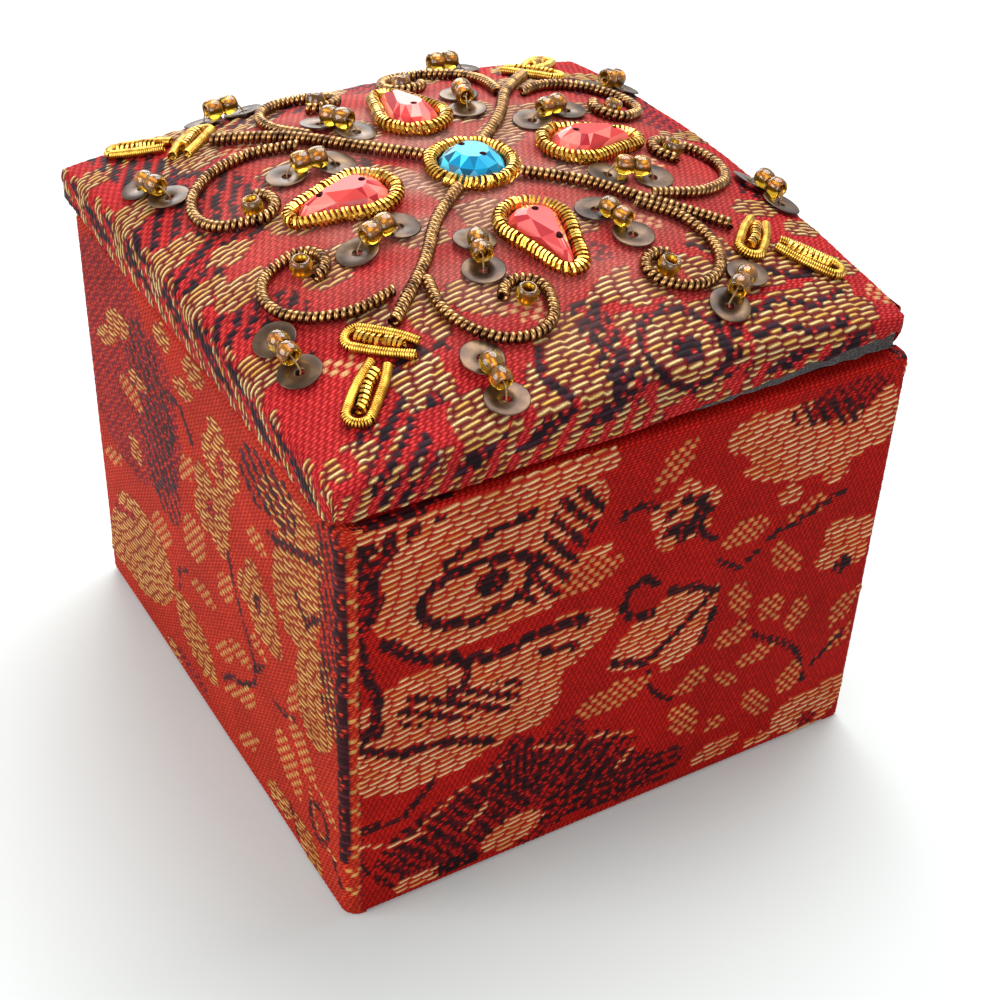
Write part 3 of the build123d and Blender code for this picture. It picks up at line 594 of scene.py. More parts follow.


# Works out one face's weave: for every grid point its height over the cloth, its colour with painted
# highlights and painted shade, and its gloss
def weaveFace(sLow, sHigh, tLow, tHigh, motifs, paletteName, seed, tWay=1, pitch=weave["columnPitch"]):
    palette = {name: np.array(linear(colour)) for name, colour in facePalettes[paletteName].items()}
    dice = np.random.default_rng(seed)
    rows = int(math.ceil((tHigh - tLow) / weave["rowPitch"]))
    columns = int(math.ceil((sHigh - sLow) / pitch)) + 1
    s = np.linspace(sLow, sHigh, columns)[None, :]
    t = (tLow + (np.arange(rows) + 0.5) * (tHigh - tLow) / rows)[:, None]
    kind = np.zeros((rows, columns), int)
    for what, shape, *places in motifs:
        for sizes in places:
            kind[shapes[shape](s, tWay * t, *sizes)] = kinds[what]

    # Each weft floats over the ground and dips under a binding thread, a little further on in each row
    spread = weave["lengthSpread"]
    length = weave["floatLength"] * (1 - spread / 2 + spread * dice.random((rows, 1)))
    start = np.cumsum(np.full((rows, 1), weave["stepOn"]), axis=0)
    start = start + weave["stepStray"] * dice.random((rows, 1))
    run = (s + start * weave["floatLength"]) / length
    number = np.floor(run).astype(int)
    number -= number.min()
    place = run - np.floor(run)
    gap = weave["floatGap"] / weave["floatLength"]
    floating = place > gap
    arch = np.sin(np.pi * np.clip((place - gap) / (1 - gap), 0, 1))
    profile = np.clip(arch, 0, 1) ** weave["archPower"]
    shade = dice.random((rows, int(number.max()) + 1))[np.arange(rows)[:, None], number]
    checker = (np.arange(columns)[None, :] + np.arange(rows)[:, None]) % 2 == 0
    short = (np.arange(columns)[None, :] + 2 * (np.arange(rows)[:, None] % 2)) % 4 < 2

    lines = rows * weave["linesInRow"] + 1
    height = np.zeros((lines, columns))
    colour = np.zeros((lines, columns, 3))
    gloss = np.zeros((lines, columns))
    groundShade = (0.75 + 0.5 * dice.random((rows, columns)))[..., None]  # no two threads dye alike
    slide = np.zeros((lines, columns))
    lean = (place - 0.5 * (1 + gap)) * weave["floatLean"]
    for sub in range(weave["linesInRow"]):
        line = slice(sub, lines - 1, weave["linesInRow"])
        rise = (0.0, 0.55, 1.0, 0.55)[sub]  # a thread is round: its middle line stands highest
        # The ground is a plain weave, so its threads come up in turn
        bumps = (sub == 1) & checker | (sub == 3) & ~checker
        high = np.where(bumps, weave["groundHeight"], 0.0)
        # Painted light: the raised ground threads get a painted highlight, and the pits between them painted
        # shade
        tone = np.where(bumps[..., None], palette["groundLitTop"] * groundShade, palette["groundShadedPit"])
        tone = np.broadcast_to(tone, (rows, columns, 3)).copy()
        shine = np.where(bumps, 0.5, 0.1)
        if sub:
            metal = (palette["goldDeep"] * (1 - shade[..., None]) + palette["gold"] * shade[..., None])
            # Painted shade: a gold float is drawn darker towards its ends, where it dips
            metal = metal * (0.7 + 0.3 * profile[..., None])
            # Its side lines take mostly the pit colour: the red ground beside a thin float, darkened as
            # painted shade
            if sub != 2:
                metal = palette["goldShadedPit"] + (metal - palette["goldShadedPit"]) * weave["floatSide"]
            isGold = (kind == kinds["gold"]) & floating
            high = np.where(isGold, weave["floatHeight"] * rise * profile, high)
            tone[isGold] = metal[isGold]
            shine = np.where(isGold, 1.0 if sub == 2 else 0.7, shine)
            # Where a gold weft dips under, the red ground shows, darkened as painted shade
            isPit = (kind == kinds["gold"]) & ~floating
            tone[isPit] = palette["goldShadedPit"]
            slide[line] = np.where((kind > 0) & floating & (kind != kinds["half"]), lean, 0)
            isHalf = (kind == kinds["half"]) & short
            high = np.where(isHalf, weave["floatHeight"] * 0.6 * rise, high)
            tone[isHalf] = palette["half"] * (0.75 + 0.35 * shade[isHalf][:, None])
            shine = np.where(isHalf, 0.8, shine)
            isDark = (kind == kinds["dark"]) & floating
            high = np.where(isDark, weave["darkHeight"] * rise * profile, high)
            # Painted sheen: a dark float is drawn lighter along its middle line, where a round thread catches
            # the light
            lit = shade[..., None] ** 2 * rise
            darkTone = palette["dark"] + (palette["darkTopSheen"] - palette["dark"]) * lit
            tone[isDark] = darkTone[isDark]
            shine = np.where(isDark, 0.6, shine)
            isMaroon = (kind == kinds["maroon"]) & (floating & short)
            tone[isMaroon] = palette["maroon"] * (0.6 + 0.7 * shade[isMaroon][:, None])
        else:
            # Between rows: the red ground beside gold, darkened as painted shade; dark and maroon threads
            # keep their own colours
            below = np.roll(kind, 1, axis=0)
            tone[(kind == kinds["gold"]) | (below == kinds["gold"])] = palette["goldShadedPit"]
            tone[kind == kinds["dark"]] = palette["dark"]
            tone[kind == kinds["maroon"]] = palette["maroon"]
        height[line] = high
        colour[line] = tone
        gloss[line] = shine
    colour[-1] = colour[-2]
    slide[[0, -1]] = 0
    t = np.linspace(tLow, tHigh, lines)[:, None] + slide
    return s + 0 * t, t, height, colour, gloss


# Cloth bent round an edge: how far a place reaches, how deep it lies below the face, and its turn
def wrapRound(x, half, radius):
    beyond = np.abs(x) - (half - radius)
    turn = np.clip(beyond / radius, 0, math.pi / 2)
    reach = np.where(beyond > 0, half - radius + radius * np.sin(turn), np.abs(x))
    extra = np.clip(beyond - radius * math.pi / 2, 0, None)
    inset = radius * (1 - np.cos(turn)) + extra
    return np.sign(x) * reach, inset, np.sign(x) * turn


def setThreadColour(piece, colour, gloss):
    attribute = piece.data.attributes.new("threadColourAndLight", "FLOAT_COLOR", "POINT")
    values = np.concatenate([colour, gloss[..., None]], -1).reshape(-1)
    attribute.data.foreach_set("color", values.astype(np.float32))


# Walls: brocade stretched over each board, folded over its edges; the place and size come from the frame
walls = {
    "thickness": 2.0, "slack": 0.03, "inward": -0.02,
    "sides": {
        "front": {
            "across": (1, 0, 0), "out": (0, -1, 0), "motifs": frontMotifs, "palette": "front", "fold": 1.0,
        },
        "right": {
            "across": (0, 1, 0), "out": (1, 0, 0), "motifs": rightMotifs, "palette": "right", "fold": 0.5,
            "covers": (0.9, 2.02),  # its ends reach over the ends of the front and back panels
        },
        "back": {
            "across": (-1, 0, 0), "out": (0, 1, 0), "motifs": rightMotifs, "palette": "right", "fold": 0.5,
        },
        "left": {
            "across": (0, -1, 0), "out": (-1, 0, 0), "motifs": frontMotifs, "palette": "right", "fold": 0.5,
        },
    },
}


def buildWall(side, seed):
    facts = walls["sides"][side]
    across = np.array(facts["across"], float)
    out = np.array(facts["out"], float)
    up = np.array((0, 0, 1.0))
    low, high = boxOf(f"{side}_cover")
    near, far = facts.get("covers", (0.0, 0.0))
    shift = (far - near) / 2
    halfWidth = abs((high - low) @ across) / 2 + (near + far) / 2
    height = high[2] - low[2]
    faceAt = max(abs(low @ out), abs(high @ out)) - walls["inward"]
    radius = facts["fold"]
    beyond = radius * (math.pi / 2 - 1) + walls["thickness"] - walls["inward"]
    reachS, reachT = halfWidth + beyond, height / 2 + beyond
    edge = halfWidth + radius * (math.pi / 2 - 1)
    sLow = edge if near else reachS
    sHigh = edge if far else reachS
    sides = shift - sLow, shift + sHigh, height / 2 - reachT, height / 2 + reachT
    woven = weaveFace(*sides, facts["motifs"], facts["palette"], seed)
    s, t, relief, colour, gloss = woven
    s = s + 0.10 * ripple(s, t, 14, 5, seed + 1)
    drawn = t - height / 2 + 0.09 * ripple(s, t, 11, 5, seed + 2)
    drawn = np.clip(drawn, -reachT, reachT)  # the cloth is pulled a little out of square
    a, insetS, turnS = wrapRound(s - shift, halfWidth, radius)
    a = a + shift
    b, insetT, turnT = wrapRound(drawn, height / 2, radius)
    depth = np.minimum(insetS + insetT, walls["thickness"] - walls["inward"])
    depth = depth - walls["slack"] * (1 + ripple(s, t, 19, 5, seed + 3)) * np.cos(turnS) * np.cos(turnT)
    normal = (np.sin(turnS) * np.cos(turnT))[..., None] * across
    normal = normal + (np.sin(turnT) * np.cos(turnS))[..., None] * up
    normal = normal + (np.cos(turnS) * np.cos(turnT) + 0.05)[..., None] * out
    points = a[..., None] * across + (b + height / 2)[..., None] * up + (faceAt - depth)[..., None] * out
    points = points + unit(normal) * relief[..., None]
    points[..., 2] = np.maximum(points[..., 2], 0.02)  # threads at the foot stay above the ground
    faces = gridFaces(*relief.shape)
    piece = addPiece(f"{side}_brocade", points.reshape(-1, 3), faces, [brocade])
    setThreadColour(piece, colour, gloss)
    settle(piece, "box", [f"{side}_cover"])


for number, side in enumerate(walls["sides"]):
    buildWall(side, 40 + 10 * number)
print("walls covered")

# Lid: the brocade pulled over its padding; the same crown as the frame's lid
lid = {
    "cornerHeight": 3.4, "sideBulge": 2.2, "crownRise": 5.0, "crownPower": 2.6,
    "shoulder": 0.8, "cornerRadius": 1.1, "wornRadius": 1.9, "turnUnder": 0.7, "hang": 0.4,
    "columnPitch": 0.34, "lift": 1.7, "liftRagged": 0.35,  # the edge is drawn up towards the right corner
    "liftStart": -2, "liftRun": 26, "cornerStart": 19, "cornerRun": 8, "liftPower": 1.3,
    "dust": "#d8a494", "dustReach": (24, 22), "dustMost": 0.8,
}
lidLow, lidHigh = boxOf("lid_cover")
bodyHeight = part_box("front_cover")[1].z / mm
lidShift = (lidLow[0] + lidHigh[0]) / 2
lidHalfX = (lidHigh[0] - lidLow[0]) / 2
lidHalfY = (lidHigh[1] - lidLow[1]) / 2
lidBottom = lidLow[2]


def crown(x, y):
    u = np.clip(np.abs(x - lidShift) / lidHalfX, 0, 1)
    v = np.clip(np.abs(y) / lidHalfY, 0, 1)
    side = lid["sideBulge"] * (1 - (u * v) ** 2)
    rise = lid["crownRise"] * (1 - u ** lid["crownPower"]) * (1 - v ** lid["crownPower"])
    return bodyHeight + lid["cornerHeight"] + side + rise


def crownNormal(x, y):
    step = 0.4
    slopeX = (crown(x + step, y) - crown(x - step, y)) / (2 * step)
    slopeY = (crown(x, y + step) - crown(x, y - step)) / (2 * step)
    return unit(np.stack([-slopeX, -slopeY, np.ones_like(slopeX)], -1))


def buildLidCover():
    radius = lid["shoulder"]
    fall = lid["cornerHeight"] + lid["sideBulge"] - lid["hang"]
    beyond = radius * (math.pi / 2 - 1) + fall + lid["turnUnder"]
    reachY, reachX = lidHalfY + beyond, lidHalfX + beyond
    woven = weaveFace(-reachY, reachY, -reachX, reachX, lidMotifs, "lid", 91, -1, lid["columnPitch"])
    s, t, relief, colour, gloss = woven
    drawnY = s + 0.12 * ripple(s, t, 13, 5, 92)
    drawnX = t + 0.12 * ripple(s, t, 12, 5, 93)
    y, insetY, turnY = wrapRound(drawnY, lidHalfY, radius)
    x, insetX, turnX = wrapRound(-drawnX, lidHalfX, radius)
    inset = insetX + insetY
    # Corners: rounded in plan, rounder where the lid is handled
    cornerRadius = np.where(x > 0, lid["wornRadius"], lid["cornerRadius"])
    ridge = lidHalfX - cornerRadius, lidHalfY - cornerRadius
    overX = np.clip(np.abs(x) - ridge[0], 0, None)
    overY = np.clip(np.abs(y) - ridge[1], 0, None)
    far = np.hypot(overX, overY)
    pull = np.where(far > cornerRadius, cornerRadius / np.maximum(far, 1e-6), 1.0)
    both = (overX > 0) & (overY > 0)
    x = np.where(both, np.sign(x) * (ridge[0] + overX * pull), x)
    y = np.where(both, np.sign(y) * (ridge[1] + overY * pull), y)
    top = crown(x + lidShift, y)
    wanted = top - inset
    # The lower edge stops short of the rim, and is turned under where it touches
    along = np.clip((y - lid["liftStart"]) / lid["liftRun"], 0, 1)
    behind = np.clip((x - lid["cornerStart"]) / lid["cornerRun"], 0, 1)
    drawnUp = np.maximum(np.where(turnX > 0.5, along, 0), np.where(turnY > 0.5, behind, 0))
    drawnUp = drawnUp ** lid["liftPower"]
    edge = bodyHeight + lid["hang"] + 0.08 * ripple(s, t, 4, 5, 96)
    edge = edge + drawnUp * (lid["lift"] + lid["liftRagged"] * ripple(s, t, 2.6, 5, 97))
    left = np.clip(edge - wanted, 0, lid["turnUnder"])
    z = np.maximum(wanted, edge)
    inX = np.where(insetX > radius * 0.9, left, 0) * np.sign(x)
    inY = np.where(insetY > radius * 0.9, left, 0) * np.sign(y)
    points = np.stack([x - inX + lidShift, y - inY, z], -1)
    normal = crownNormal(x + lidShift, y) * (np.cos(turnX) * np.cos(turnY))[..., None]
    normal = normal + np.stack([np.sin(turnX), np.sin(turnY), np.zeros_like(x)], -1)
    puckers = 0.10 * ripple(s, t, 9, 6, 94) * np.clip(far / 3 + 0.4, 0, 1)
    points = points + unit(normal) * (relief - 0.1 + puckers)[..., None]
    # Dust and handling have greyed the middle
    reachAcross, reachAlong = lid["dustReach"]
    dust = np.clip(1.25 - np.hypot((x + 2) / reachAcross, y / reachAlong), 0, 1)
    dust = dust * (0.6 + 0.4 * ripple(s, t, 8, 6, 95))
    dust = np.clip(dust * lid["dustMost"], 0, lid["dustMost"])[..., None]
    worn = np.array(linear(lid["dust"]))
    colour = colour * (1 - dust) + worn * dust * (0.45 + 1.6 * colour.mean(-1, keepdims=True))
    piece = addPiece("lid_brocade", points.reshape(-1, 3), gridFaces(*relief.shape), [brocade])
    setThreadColour(piece, colour, gloss * (1 - 0.6 * dust[..., 0]))
    settle(piece, "lid", ["lid_cover", "lid_wadding"])


buildLidCover()
print("lid covered")

# Embroidery layout, the same as the frame's
layout = {
    "middle": (-2.0, 0.0), "press": 0.12, "stemReach": 24.2, "stemSway": 0.35,
    "stemRadius": 0.65, "curlRadius": 0.6, "borderRadius": 0.65, "threadGap": 0.1,
    "leafCross": 26.4, "leafLong": 28.6, "leafLength": 7.2, "leafWidth": 3.1, "leafRadius": 0.5,
    "fillRadius": 0.36, "eyeRadius": 2.0, "curlTurn": 395.0, "curlStep": 24.0, "bowShare": 0.48,
}
corners = {
    "front": (-45.0, 0.2, 0.0), "right": (45.0, 1.2, 0.0),
    "back": (135.0, 1.4, 1.2), "left": (225.0, -1.4, 1.8),
}
curls = {
    "front": [(19.0, -9.8, 20.6, 1.2), (17.6, 9.6, 18.6, 1.2)],
    "right": [(20.2, -9.6, 15.6, 1.5), (16.4, 12.2, 16.6, 1.8)],
    "back": [(19.6, -10.2, 18.6, 1.2), (17.4, 11.0, 17.6, 1.5)],
    "left": [(18.8, -10.0, 16.4, 1.4), (17.0, 12.0, 16.6, 1.15)],
}
sequinPairs = {
    "front": [
        (14.0, -4.6, -28.0, 5.0), (13.8, 4.4, 26.0, 4.2),
        (28.8, -7.8, 46.0, 4.6), (27.0, 9.3, 44.0, 4.2),
    ],
    "right": [
        (14.4, -4.9, -30.0, 4.6), (14.0, 4.0, 26.0, 4.4),
        (26.5, -8.8, -98.0, 5.0), (26.0, 11.0, -36.0, 4.2),
    ],
    "back": [
        (13.9, 3.9, 26.0, 4.4), (14.0, -4.8, -28.0, 5.0),
        (26.8, 8.8, -45.0, 4.2), (29.0, -8.6, -25.0, 4.2),
    ],
    "left": [
        (14.0, 5.0, 36.0, 4.6), (14.4, -3.9, -20.0, 4.4),
        (28.0, 9.0, -30.0, 4.2), (28.0, -8.0, 45.0, 4.2),
    ],
}


def spot(corner, along, across):
    angle, stray, reach = corners[corner]
    across = across + stray * along / layout["stemReach"]
    return onPlane(*layout["middle"], angle, [(along, across)])[0]


# A smooth route through places on the lid, as evenly spaced points at a height over the cloth
def smoothRoute(places, lift, spacing=0.06, closed=False):
    places = np.asarray(places, float)
    if closed:
        padded = np.vstack([places[-1:], places, places[:2]])
    else:
        first = 2 * places[0] - places[1]
        last = 2 * places[-1] - places[-2]
        padded = np.vstack([first, places, last])
    pieces = []
    share = np.linspace(0, 1, 24, endpoint=False)[:, None]
    for p0, p1, p2, p3 in zip(padded, padded[1:], padded[2:], padded[3:]):
        pieces.append(0.5 * (2 * p1 + (p2 - p0) * share + (2 * p0 - 5 * p1 + 4 * p2 - p3) * share ** 2
                             + (3 * p1 - p0 - 3 * p2 + p3) * share ** 3))
    line = np.vstack(pieces + [padded[-2:-1]])
    steps = np.hypot(*np.diff(line, axis=0).T)
    run = np.concatenate([[0], np.cumsum(steps)])
    count = max(8, int(run[-1] / spacing))
    even = np.linspace(0, run[-1], count)
    x, y = (np.interp(even, run, line[:, axis]) for axis in (0, 1))
    normal = crownNormal(x, y)
    return np.stack([x, y, crown(x, y)], -1) + normal * lift, normal, even


# Coiled wire along a route: turns of wire round a core, loosened a little at random
def purlTurns(route, coil, wire, pitch, corners=14, section=6, loose=0.0, seed=1, lean=0.0):
    points, normals, run = route
    dice = np.random.default_rng(seed)
    turns = max(2, int(run[-1] / pitch))
    steps = turns * corners
    angle = np.linspace(0, 2 * math.pi * turns, steps + 1)
    eased = angle / (2 * math.pi) * (run[-1] / turns)
    knots = np.linspace(0, steps, turns + 1)
    shift = np.interp(np.arange(steps + 1), knots, dice.normal(0, loose * pitch, turns + 1))
    swell = np.interp(np.arange(steps + 1), knots, 1 + dice.normal(0, loose * 0.5, turns + 1))
    place = np.clip(eased + shift + lean * np.sin(angle + 0.6), 0, run[-1])
    aheads = unit(np.gradient(points, axis=0))
    core, upward, ahead = (
        np.stack([np.interp(place, run, values[:, axis]) for axis in range(3)], -1)
        for values in (points, normals, aheads)
    )
    upward, ahead = unit(upward), unit(ahead)
    side = unit(np.cross(ahead, upward))
    outward = np.cos(angle)[:, None] * side + np.sin(angle)[:, None] * upward
    centre = core + outward * (coil * swell)[:, None]
    along = unit(np.gradient(centre, axis=0))
    return tubeRound(centre, wire, outward, unit(np.cross(along, outward)), section, math.pi / section)


def addPurl(name, coils, material, nodes, smooth=True):
    points, faces = gather(coils)
    piece = addPiece(name, points, faces, [material], smooth)
    settle(piece, "lid", nodes)


# Stems and curls: antique purl of thick wire, one turn every 0.57 mm
antique = {"wire": 0.26, "pitch": 0.57, "loose": 0.012}


def antiqueCoil(places, radius, seed):
    route = smoothRoute(places, radius - layout["press"])
    coil, wire = radius - antique["wire"], antique["wire"]
    return purlTurns(route, coil, wire, antique["pitch"], loose=antique["loose"], seed=seed)


stemStart = 3.1 + 2 * layout["borderRadius"] + 2 * layout["threadGap"]
stemCoils = []
for number, (corner, (angle, stray, leafReach)) in enumerate(corners.items()):
    sway = layout["stemSway"] if number % 2 else -layout["stemSway"]
    stemLength = layout["stemReach"] + leafReach - stemStart
    bends = [(0.0, 0.0), (0.3, sway), (0.62, -sway), (1.0, 0.0)]
    places = [spot(corner, stemStart + share * stemLength, bend) for share, bend in bends]
    stemCoils.append(antiqueCoil(places, layout["stemRadius"], number))
addPurl("stem_coils", stemCoils, antiquePurl, ["stem_purls"])


def curlPlaces(corner, eyeAlong, eyeAcross, leaveAlong, bow):
    side = 1 if eyeAcross > 0 else -1
    besideStem = side * (layout["stemRadius"] + layout["curlRadius"] - layout["threadGap"])
    startAlong, startAcross = leaveAlong - eyeAlong, besideStem - eyeAcross
    wide = math.hypot(startAlong, startAcross)
    first = math.degrees(math.atan2(startAcross, startAlong))
    steps = round(layout["curlTurn"] / layout["curlStep"])
    places = []
    for step in range(steps + 1):
        left = max(0.0, 1 - step / (layout["bowShare"] * steps))
        reach = layout["eyeRadius"] + (wide - layout["eyeRadius"]) * left ** bow
        turn = math.radians(first + side * step * layout["curlStep"])
        places.append(spot(corner, eyeAlong + reach * math.cos(turn), eyeAcross + reach * math.sin(turn)))
    return places


curlCoils = []
for number, (corner, pair) in enumerate(curls.items()):
    for which, curl in enumerate(pair):
        places = curlPlaces(corner, *curl)
        curlCoils.append(antiqueCoil(places, layout["curlRadius"], 20 + 2 * number + which))
addPurl("curl_coils", curlCoils, antiquePurl, ["curl_purls"])
print("antique purls wound")

# Borders: bright rough purl, its wire bent in flats that flash, the turns uneven
border = {"wire": 0.17, "pitch": 0.45, "loose": 0.17, "flats": 9, "swell": 1.14, "lean": 0.24}


def tearRoute(butt, tip, length, start, angle):
    lean = math.acos((butt - tip) / length)
    butts = arc(butt, np.linspace(math.pi, lean, 7))
    tips = arc(tip, np.linspace(lean, 0, 3), length)
    edge = [tuple(a + share * (b - a) for a, b in zip(butts[-1], tips[0])) for share in (0.33, 0.67)]
    places = butts + edge + tips
    places += [(a, -b) for a, b in reversed(places[1:-1])]
    return onPlane(*start, angle, places)


def borderCoil(places, seed):
    route = smoothRoute(places, layout["borderRadius"] * border["swell"] - layout["press"], closed=True)
    coil = layout["borderRadius"] * border["swell"] - border["wire"]
    return purlTurns(route, coil, border["wire"], border["pitch"], border["flats"], 4, border["loose"], seed,
                     border["lean"])


stones = {
    "radius": 3.1, "height": 2.1, "girdle": 0.5, "sides": 12,
    "butt": 2.4, "tip": 0.6, "length": 5.6, "tearHeight": 2.0, "distance": 11.2,
    "holeRadius": 0.34, "holeSides": 12, "holeSpacing": 2.6, "tearHoleSpacing": 4.2,
    # Rings of the cut: share of the height, share of the outline, and turned by half a side or not
    "shares": [(0.0, 1.0, False), (0.24, 1.0, False), (0.62, 0.86, True), (1.0, 0.5, False)],
}
middle = layout["middle"]
ringRadius = stones["radius"] + layout["borderRadius"] + layout["threadGap"]
circle = arc(ringRadius, np.linspace(0, 2 * math.pi, 12, endpoint=False), *middle)
addPurl("center_border_coil", [borderCoil(circle, 50)], brightPurl, ["center_border"], False)
grow = layout["borderRadius"] + layout["threadGap"]
tearStarts = []
tearCoils = []
for quarter in range(4):
    angle = 90.0 * quarter
    x, y = arc(stones["distance"], [math.radians(angle)], *middle)[0]
    tearStarts.append((x, y, angle))
    places = tearRoute(stones["butt"] + grow, stones["tip"] + grow, stones["length"], (x, y), angle)
    tearCoils.append(borderCoil(places, 60 + quarter))
addPurl("teardrop_border_coils", tearCoils, brightPurl, ["teardrop_borders"], False)
print("borders wound")

# Leaves: smooth purl bent into an open loop, and a short rough purl laid in it
leaf = {
    "wire": 0.12, "pitch": 0.21, "spacing": 0.04, "loose": 0.03,
    "fillWire": 0.19, "fillPitch": 0.44, "fillLift": 0.25, "fillSwell": 0.22, "fillLoose": 0.12,
    "fill": [(1.0, 0.1), (2.6, -0.12), (4.3, 0.08), (5.2, 0.0)],
}


def seatFrame(x, y, angle):
    normal = crownNormal(np.array(x), np.array(y))
    turn = math.radians(angle)
    ahead = np.array((math.cos(turn), math.sin(turn), 0))
    ahead = unit(ahead - normal * (ahead @ normal))
    return np.array((x, y, float(crown(x, y)))), ahead, np.cross(normal, ahead), normal


def leafLoopPlaces(openAtStart):
    half = layout["leafWidth"] / 2 - layout["leafRadius"]
    length = layout["leafLength"] - 2 * layout["leafRadius"]
    bend = [(length - half + half * math.sin(a), half * math.cos(a)) for a in np.linspace(0, math.pi, 7)]
    places = [(0.1, half * 0.75), (length * 0.35, half), *bend, (length * 0.4, -half), (-0.1, -half * 0.6)]
    if openAtStart:
        return places
    return [(length - a, b) for a, b in places]


loopCoils = []
fillCoils = []
for number, (corner, (angle, stray, leafReach)) in enumerate(corners.items()):
    cross = *spot(corner, layout["leafCross"] + leafReach, -layout["leafLength"] / 2), angle + 90, False
    lengthwise = *spot(corner, layout["leafLong"] + leafReach, 0), angle, True
    for which, (x, y, turn, opened) in enumerate((cross, lengthwise)):
        place = 2 * number + which
        loop = onPlane(x, y, turn, leafLoopPlaces(opened))
        route = smoothRoute(loop, layout["leafRadius"] - layout["press"], leaf["spacing"])
        coil, wire = layout["leafRadius"] - leaf["wire"], leaf["wire"]
        loopCoils.append(purlTurns(route, coil, wire, leaf["pitch"], 12, 5, leaf["loose"], 70 + place))
        route = smoothRoute(onPlane(x, y, turn, leaf["fill"]), layout["fillRadius"] + leaf["fillLift"])
        coil, wire = layout["fillRadius"] + leaf["fillSwell"] - leaf["fillWire"], leaf["fillWire"]
        fillCoils.append(purlTurns(route, coil, wire, leaf["fillPitch"], 8, 4, leaf["fillLoose"], 80 + place))
addPurl("leaf_loop_coils", loopCoils, smoothPurl, ["leaf_loops"])
addPurl("leaf_fill_coils", fillCoils, brightPurl, ["leaf_fills"], False)
print("leaves wound")


# Stones: cut facets over a girdle, two sewing holes drilled through
def facetStone(outline, height):
    shares = stones["shares"]
    outline = np.asarray(outline, float)
    centre = outline.mean(0)
    rings = []
    for level, scale, twist in shares:
        turned = (outline + np.roll(outline, -1, axis=0)) / 2 if twist else outline
        flat = centre + (turned - centre) * scale
        rings.append(np.column_stack([flat, np.full(len(flat), level * height)]))
    points = np.vstack(rings + [np.append(centre, 0)[None, :]])
    count = len(outline)
    faces = []
    for ring in range(len(rings) - 1):
        twistHere, twistNext = shares[ring][2], shares[ring + 1][2]
        a, b = ring * count, (ring + 1) * count
        for i in range(count):
            j = (i + 1) % count
            if twistHere == twistNext:
                faces.append((a + i, a + j, b + j, b + i))
            elif twistNext:
                faces += [(a + i, a + j, b + i), (a + j, b + j, b + i)]
            else:
                faces += [(a + i, a + j, b + j), (a + i, b + j, b + i)]
    top = (len(rings) - 1) * count
    faces.append(tuple(top + i for i in range(count)))
    faces += [((i + 1) % count, i, len(points) - 1) for i in range(count)]
    return points, faces


def buildStone(name, outline, height, seats, holes, material, node, seed):
    points, faces = facetStone(outline, height)
    around = stones["holeSides"]
    ring = np.linspace(0, 2 * math.pi, around, endpoint=False)[:, None]
    drillFaces = [(i, (i + 1) % around, around + (i + 1) % around, around + i) for i in range(around)]
    drillFaces += [tuple(reversed(range(around))), tuple(range(around, 2 * around))]
    gems, drills = [], []
    for origin, ahead, aside, normal in seats:
        world = origin + points[:, :1] * ahead + points[:, 1:2] * aside + points[:, 2:3] * normal
        gems.append((world, faces))
        circle = stones["holeRadius"] * (np.cos(ring) * ahead + np.sin(ring) * aside)
        for holeX, holeY in holes:
            foot = origin + holeX * ahead + holeY * aside - normal * 0.5
            drills.append((np.vstack([foot + circle, foot + circle + 4.0 * normal]), drillFaces))
    stone = addPiece(name, *gatherUneven(gems), [material, shadedHole], False)
    drill = addPiece(name + "_drill", *gatherUneven(drills), [shadedHole], False)
    for part in (stone, drill):
        bpy.context.view_layer.objects.active = part
        part.select_set(True)
        bpy.ops.object.mode_set(mode="EDIT")
        bpy.ops.mesh.select_all(action="SELECT")
        bpy.ops.mesh.normals_make_consistent(inside=False)
        bpy.ops.object.mode_set(mode="OBJECT")
        part.select_set(False)
    cut = stone.modifiers.new("drill", "BOOLEAN")
    cut.object = drill
    cut.operation = "DIFFERENCE"
    cut.solver = "EXACT"
    cut.material_mode = "TRANSFER"
    graph = bpy.context.evaluated_depsgraph_get()
    finished = bpy.data.meshes.new_from_object(stone.evaluated_get(graph))
    stone.modifiers.clear()
    stone.data = finished
    bpy.data.objects.remove(drill)
    finished.polygons.foreach_set("use_smooth", [False] * len(finished.polygons))
    # Painted reflections: each facet direction gets a random tone for the foil's flash
    dice = np.random.default_rng(seed)
    facet = finished.attributes.new("facet", "FLOAT", "CORNER")
    values = np.zeros(len(finished.loops), np.float32)
    known = {}
    for polygon in finished.polygons:
        key = tuple(round(c, 2) for c in polygon.normal)
        known.setdefault(key, dice.random())
        for loop in polygon.loop_indices:
            values[loop] = known[key]
    facet.data.foreach_set("value", values)
    settle(stone, "lid", [node])


roundOutline = arc(stones["radius"], np.linspace(0, 2 * math.pi, stones["sides"], endpoint=False))
halfHole = stones["holeSpacing"] / 2
buildStone("center_gem", roundOutline, stones["height"], [seatFrame(*middle, 20.0)],
           [(-halfHole, 0.0), (halfHole, 0.0)], blueStone, "center_stone", 5)

lean = math.acos((stones["butt"] - stones["tip"]) / stones["length"])
tearOutline = arc(stones["butt"], np.linspace(2 * math.pi - lean, lean, 8))
tearOutline += arc(stones["tip"], np.linspace(lean * 0.9, -lean * 0.9, 4), stones["length"])
tearOutline.reverse()
halfHole = stones["tearHoleSpacing"] / 2
tearMiddle = stones["length"] * 0.35
tearHoles = [(tearMiddle - halfHole, 0.0), (tearMiddle + halfHole, 0.0)]
tearSeats = [seatFrame(x, y, angle) for x, y, angle in tearStarts]
buildStone("teardrop_gems", tearOutline, stones["tearHeight"], tearSeats, tearHoles, coralStone,
           "teardrop_stones", 8)
print("stones cut")

# Sequins: thin film discs with a punched hole, faintly dished
sequin = {"radius": 1.95, "hole": 0.42, "thick": 0.12, "dish": 0.16, "tilt": 4.0, "around": 36}


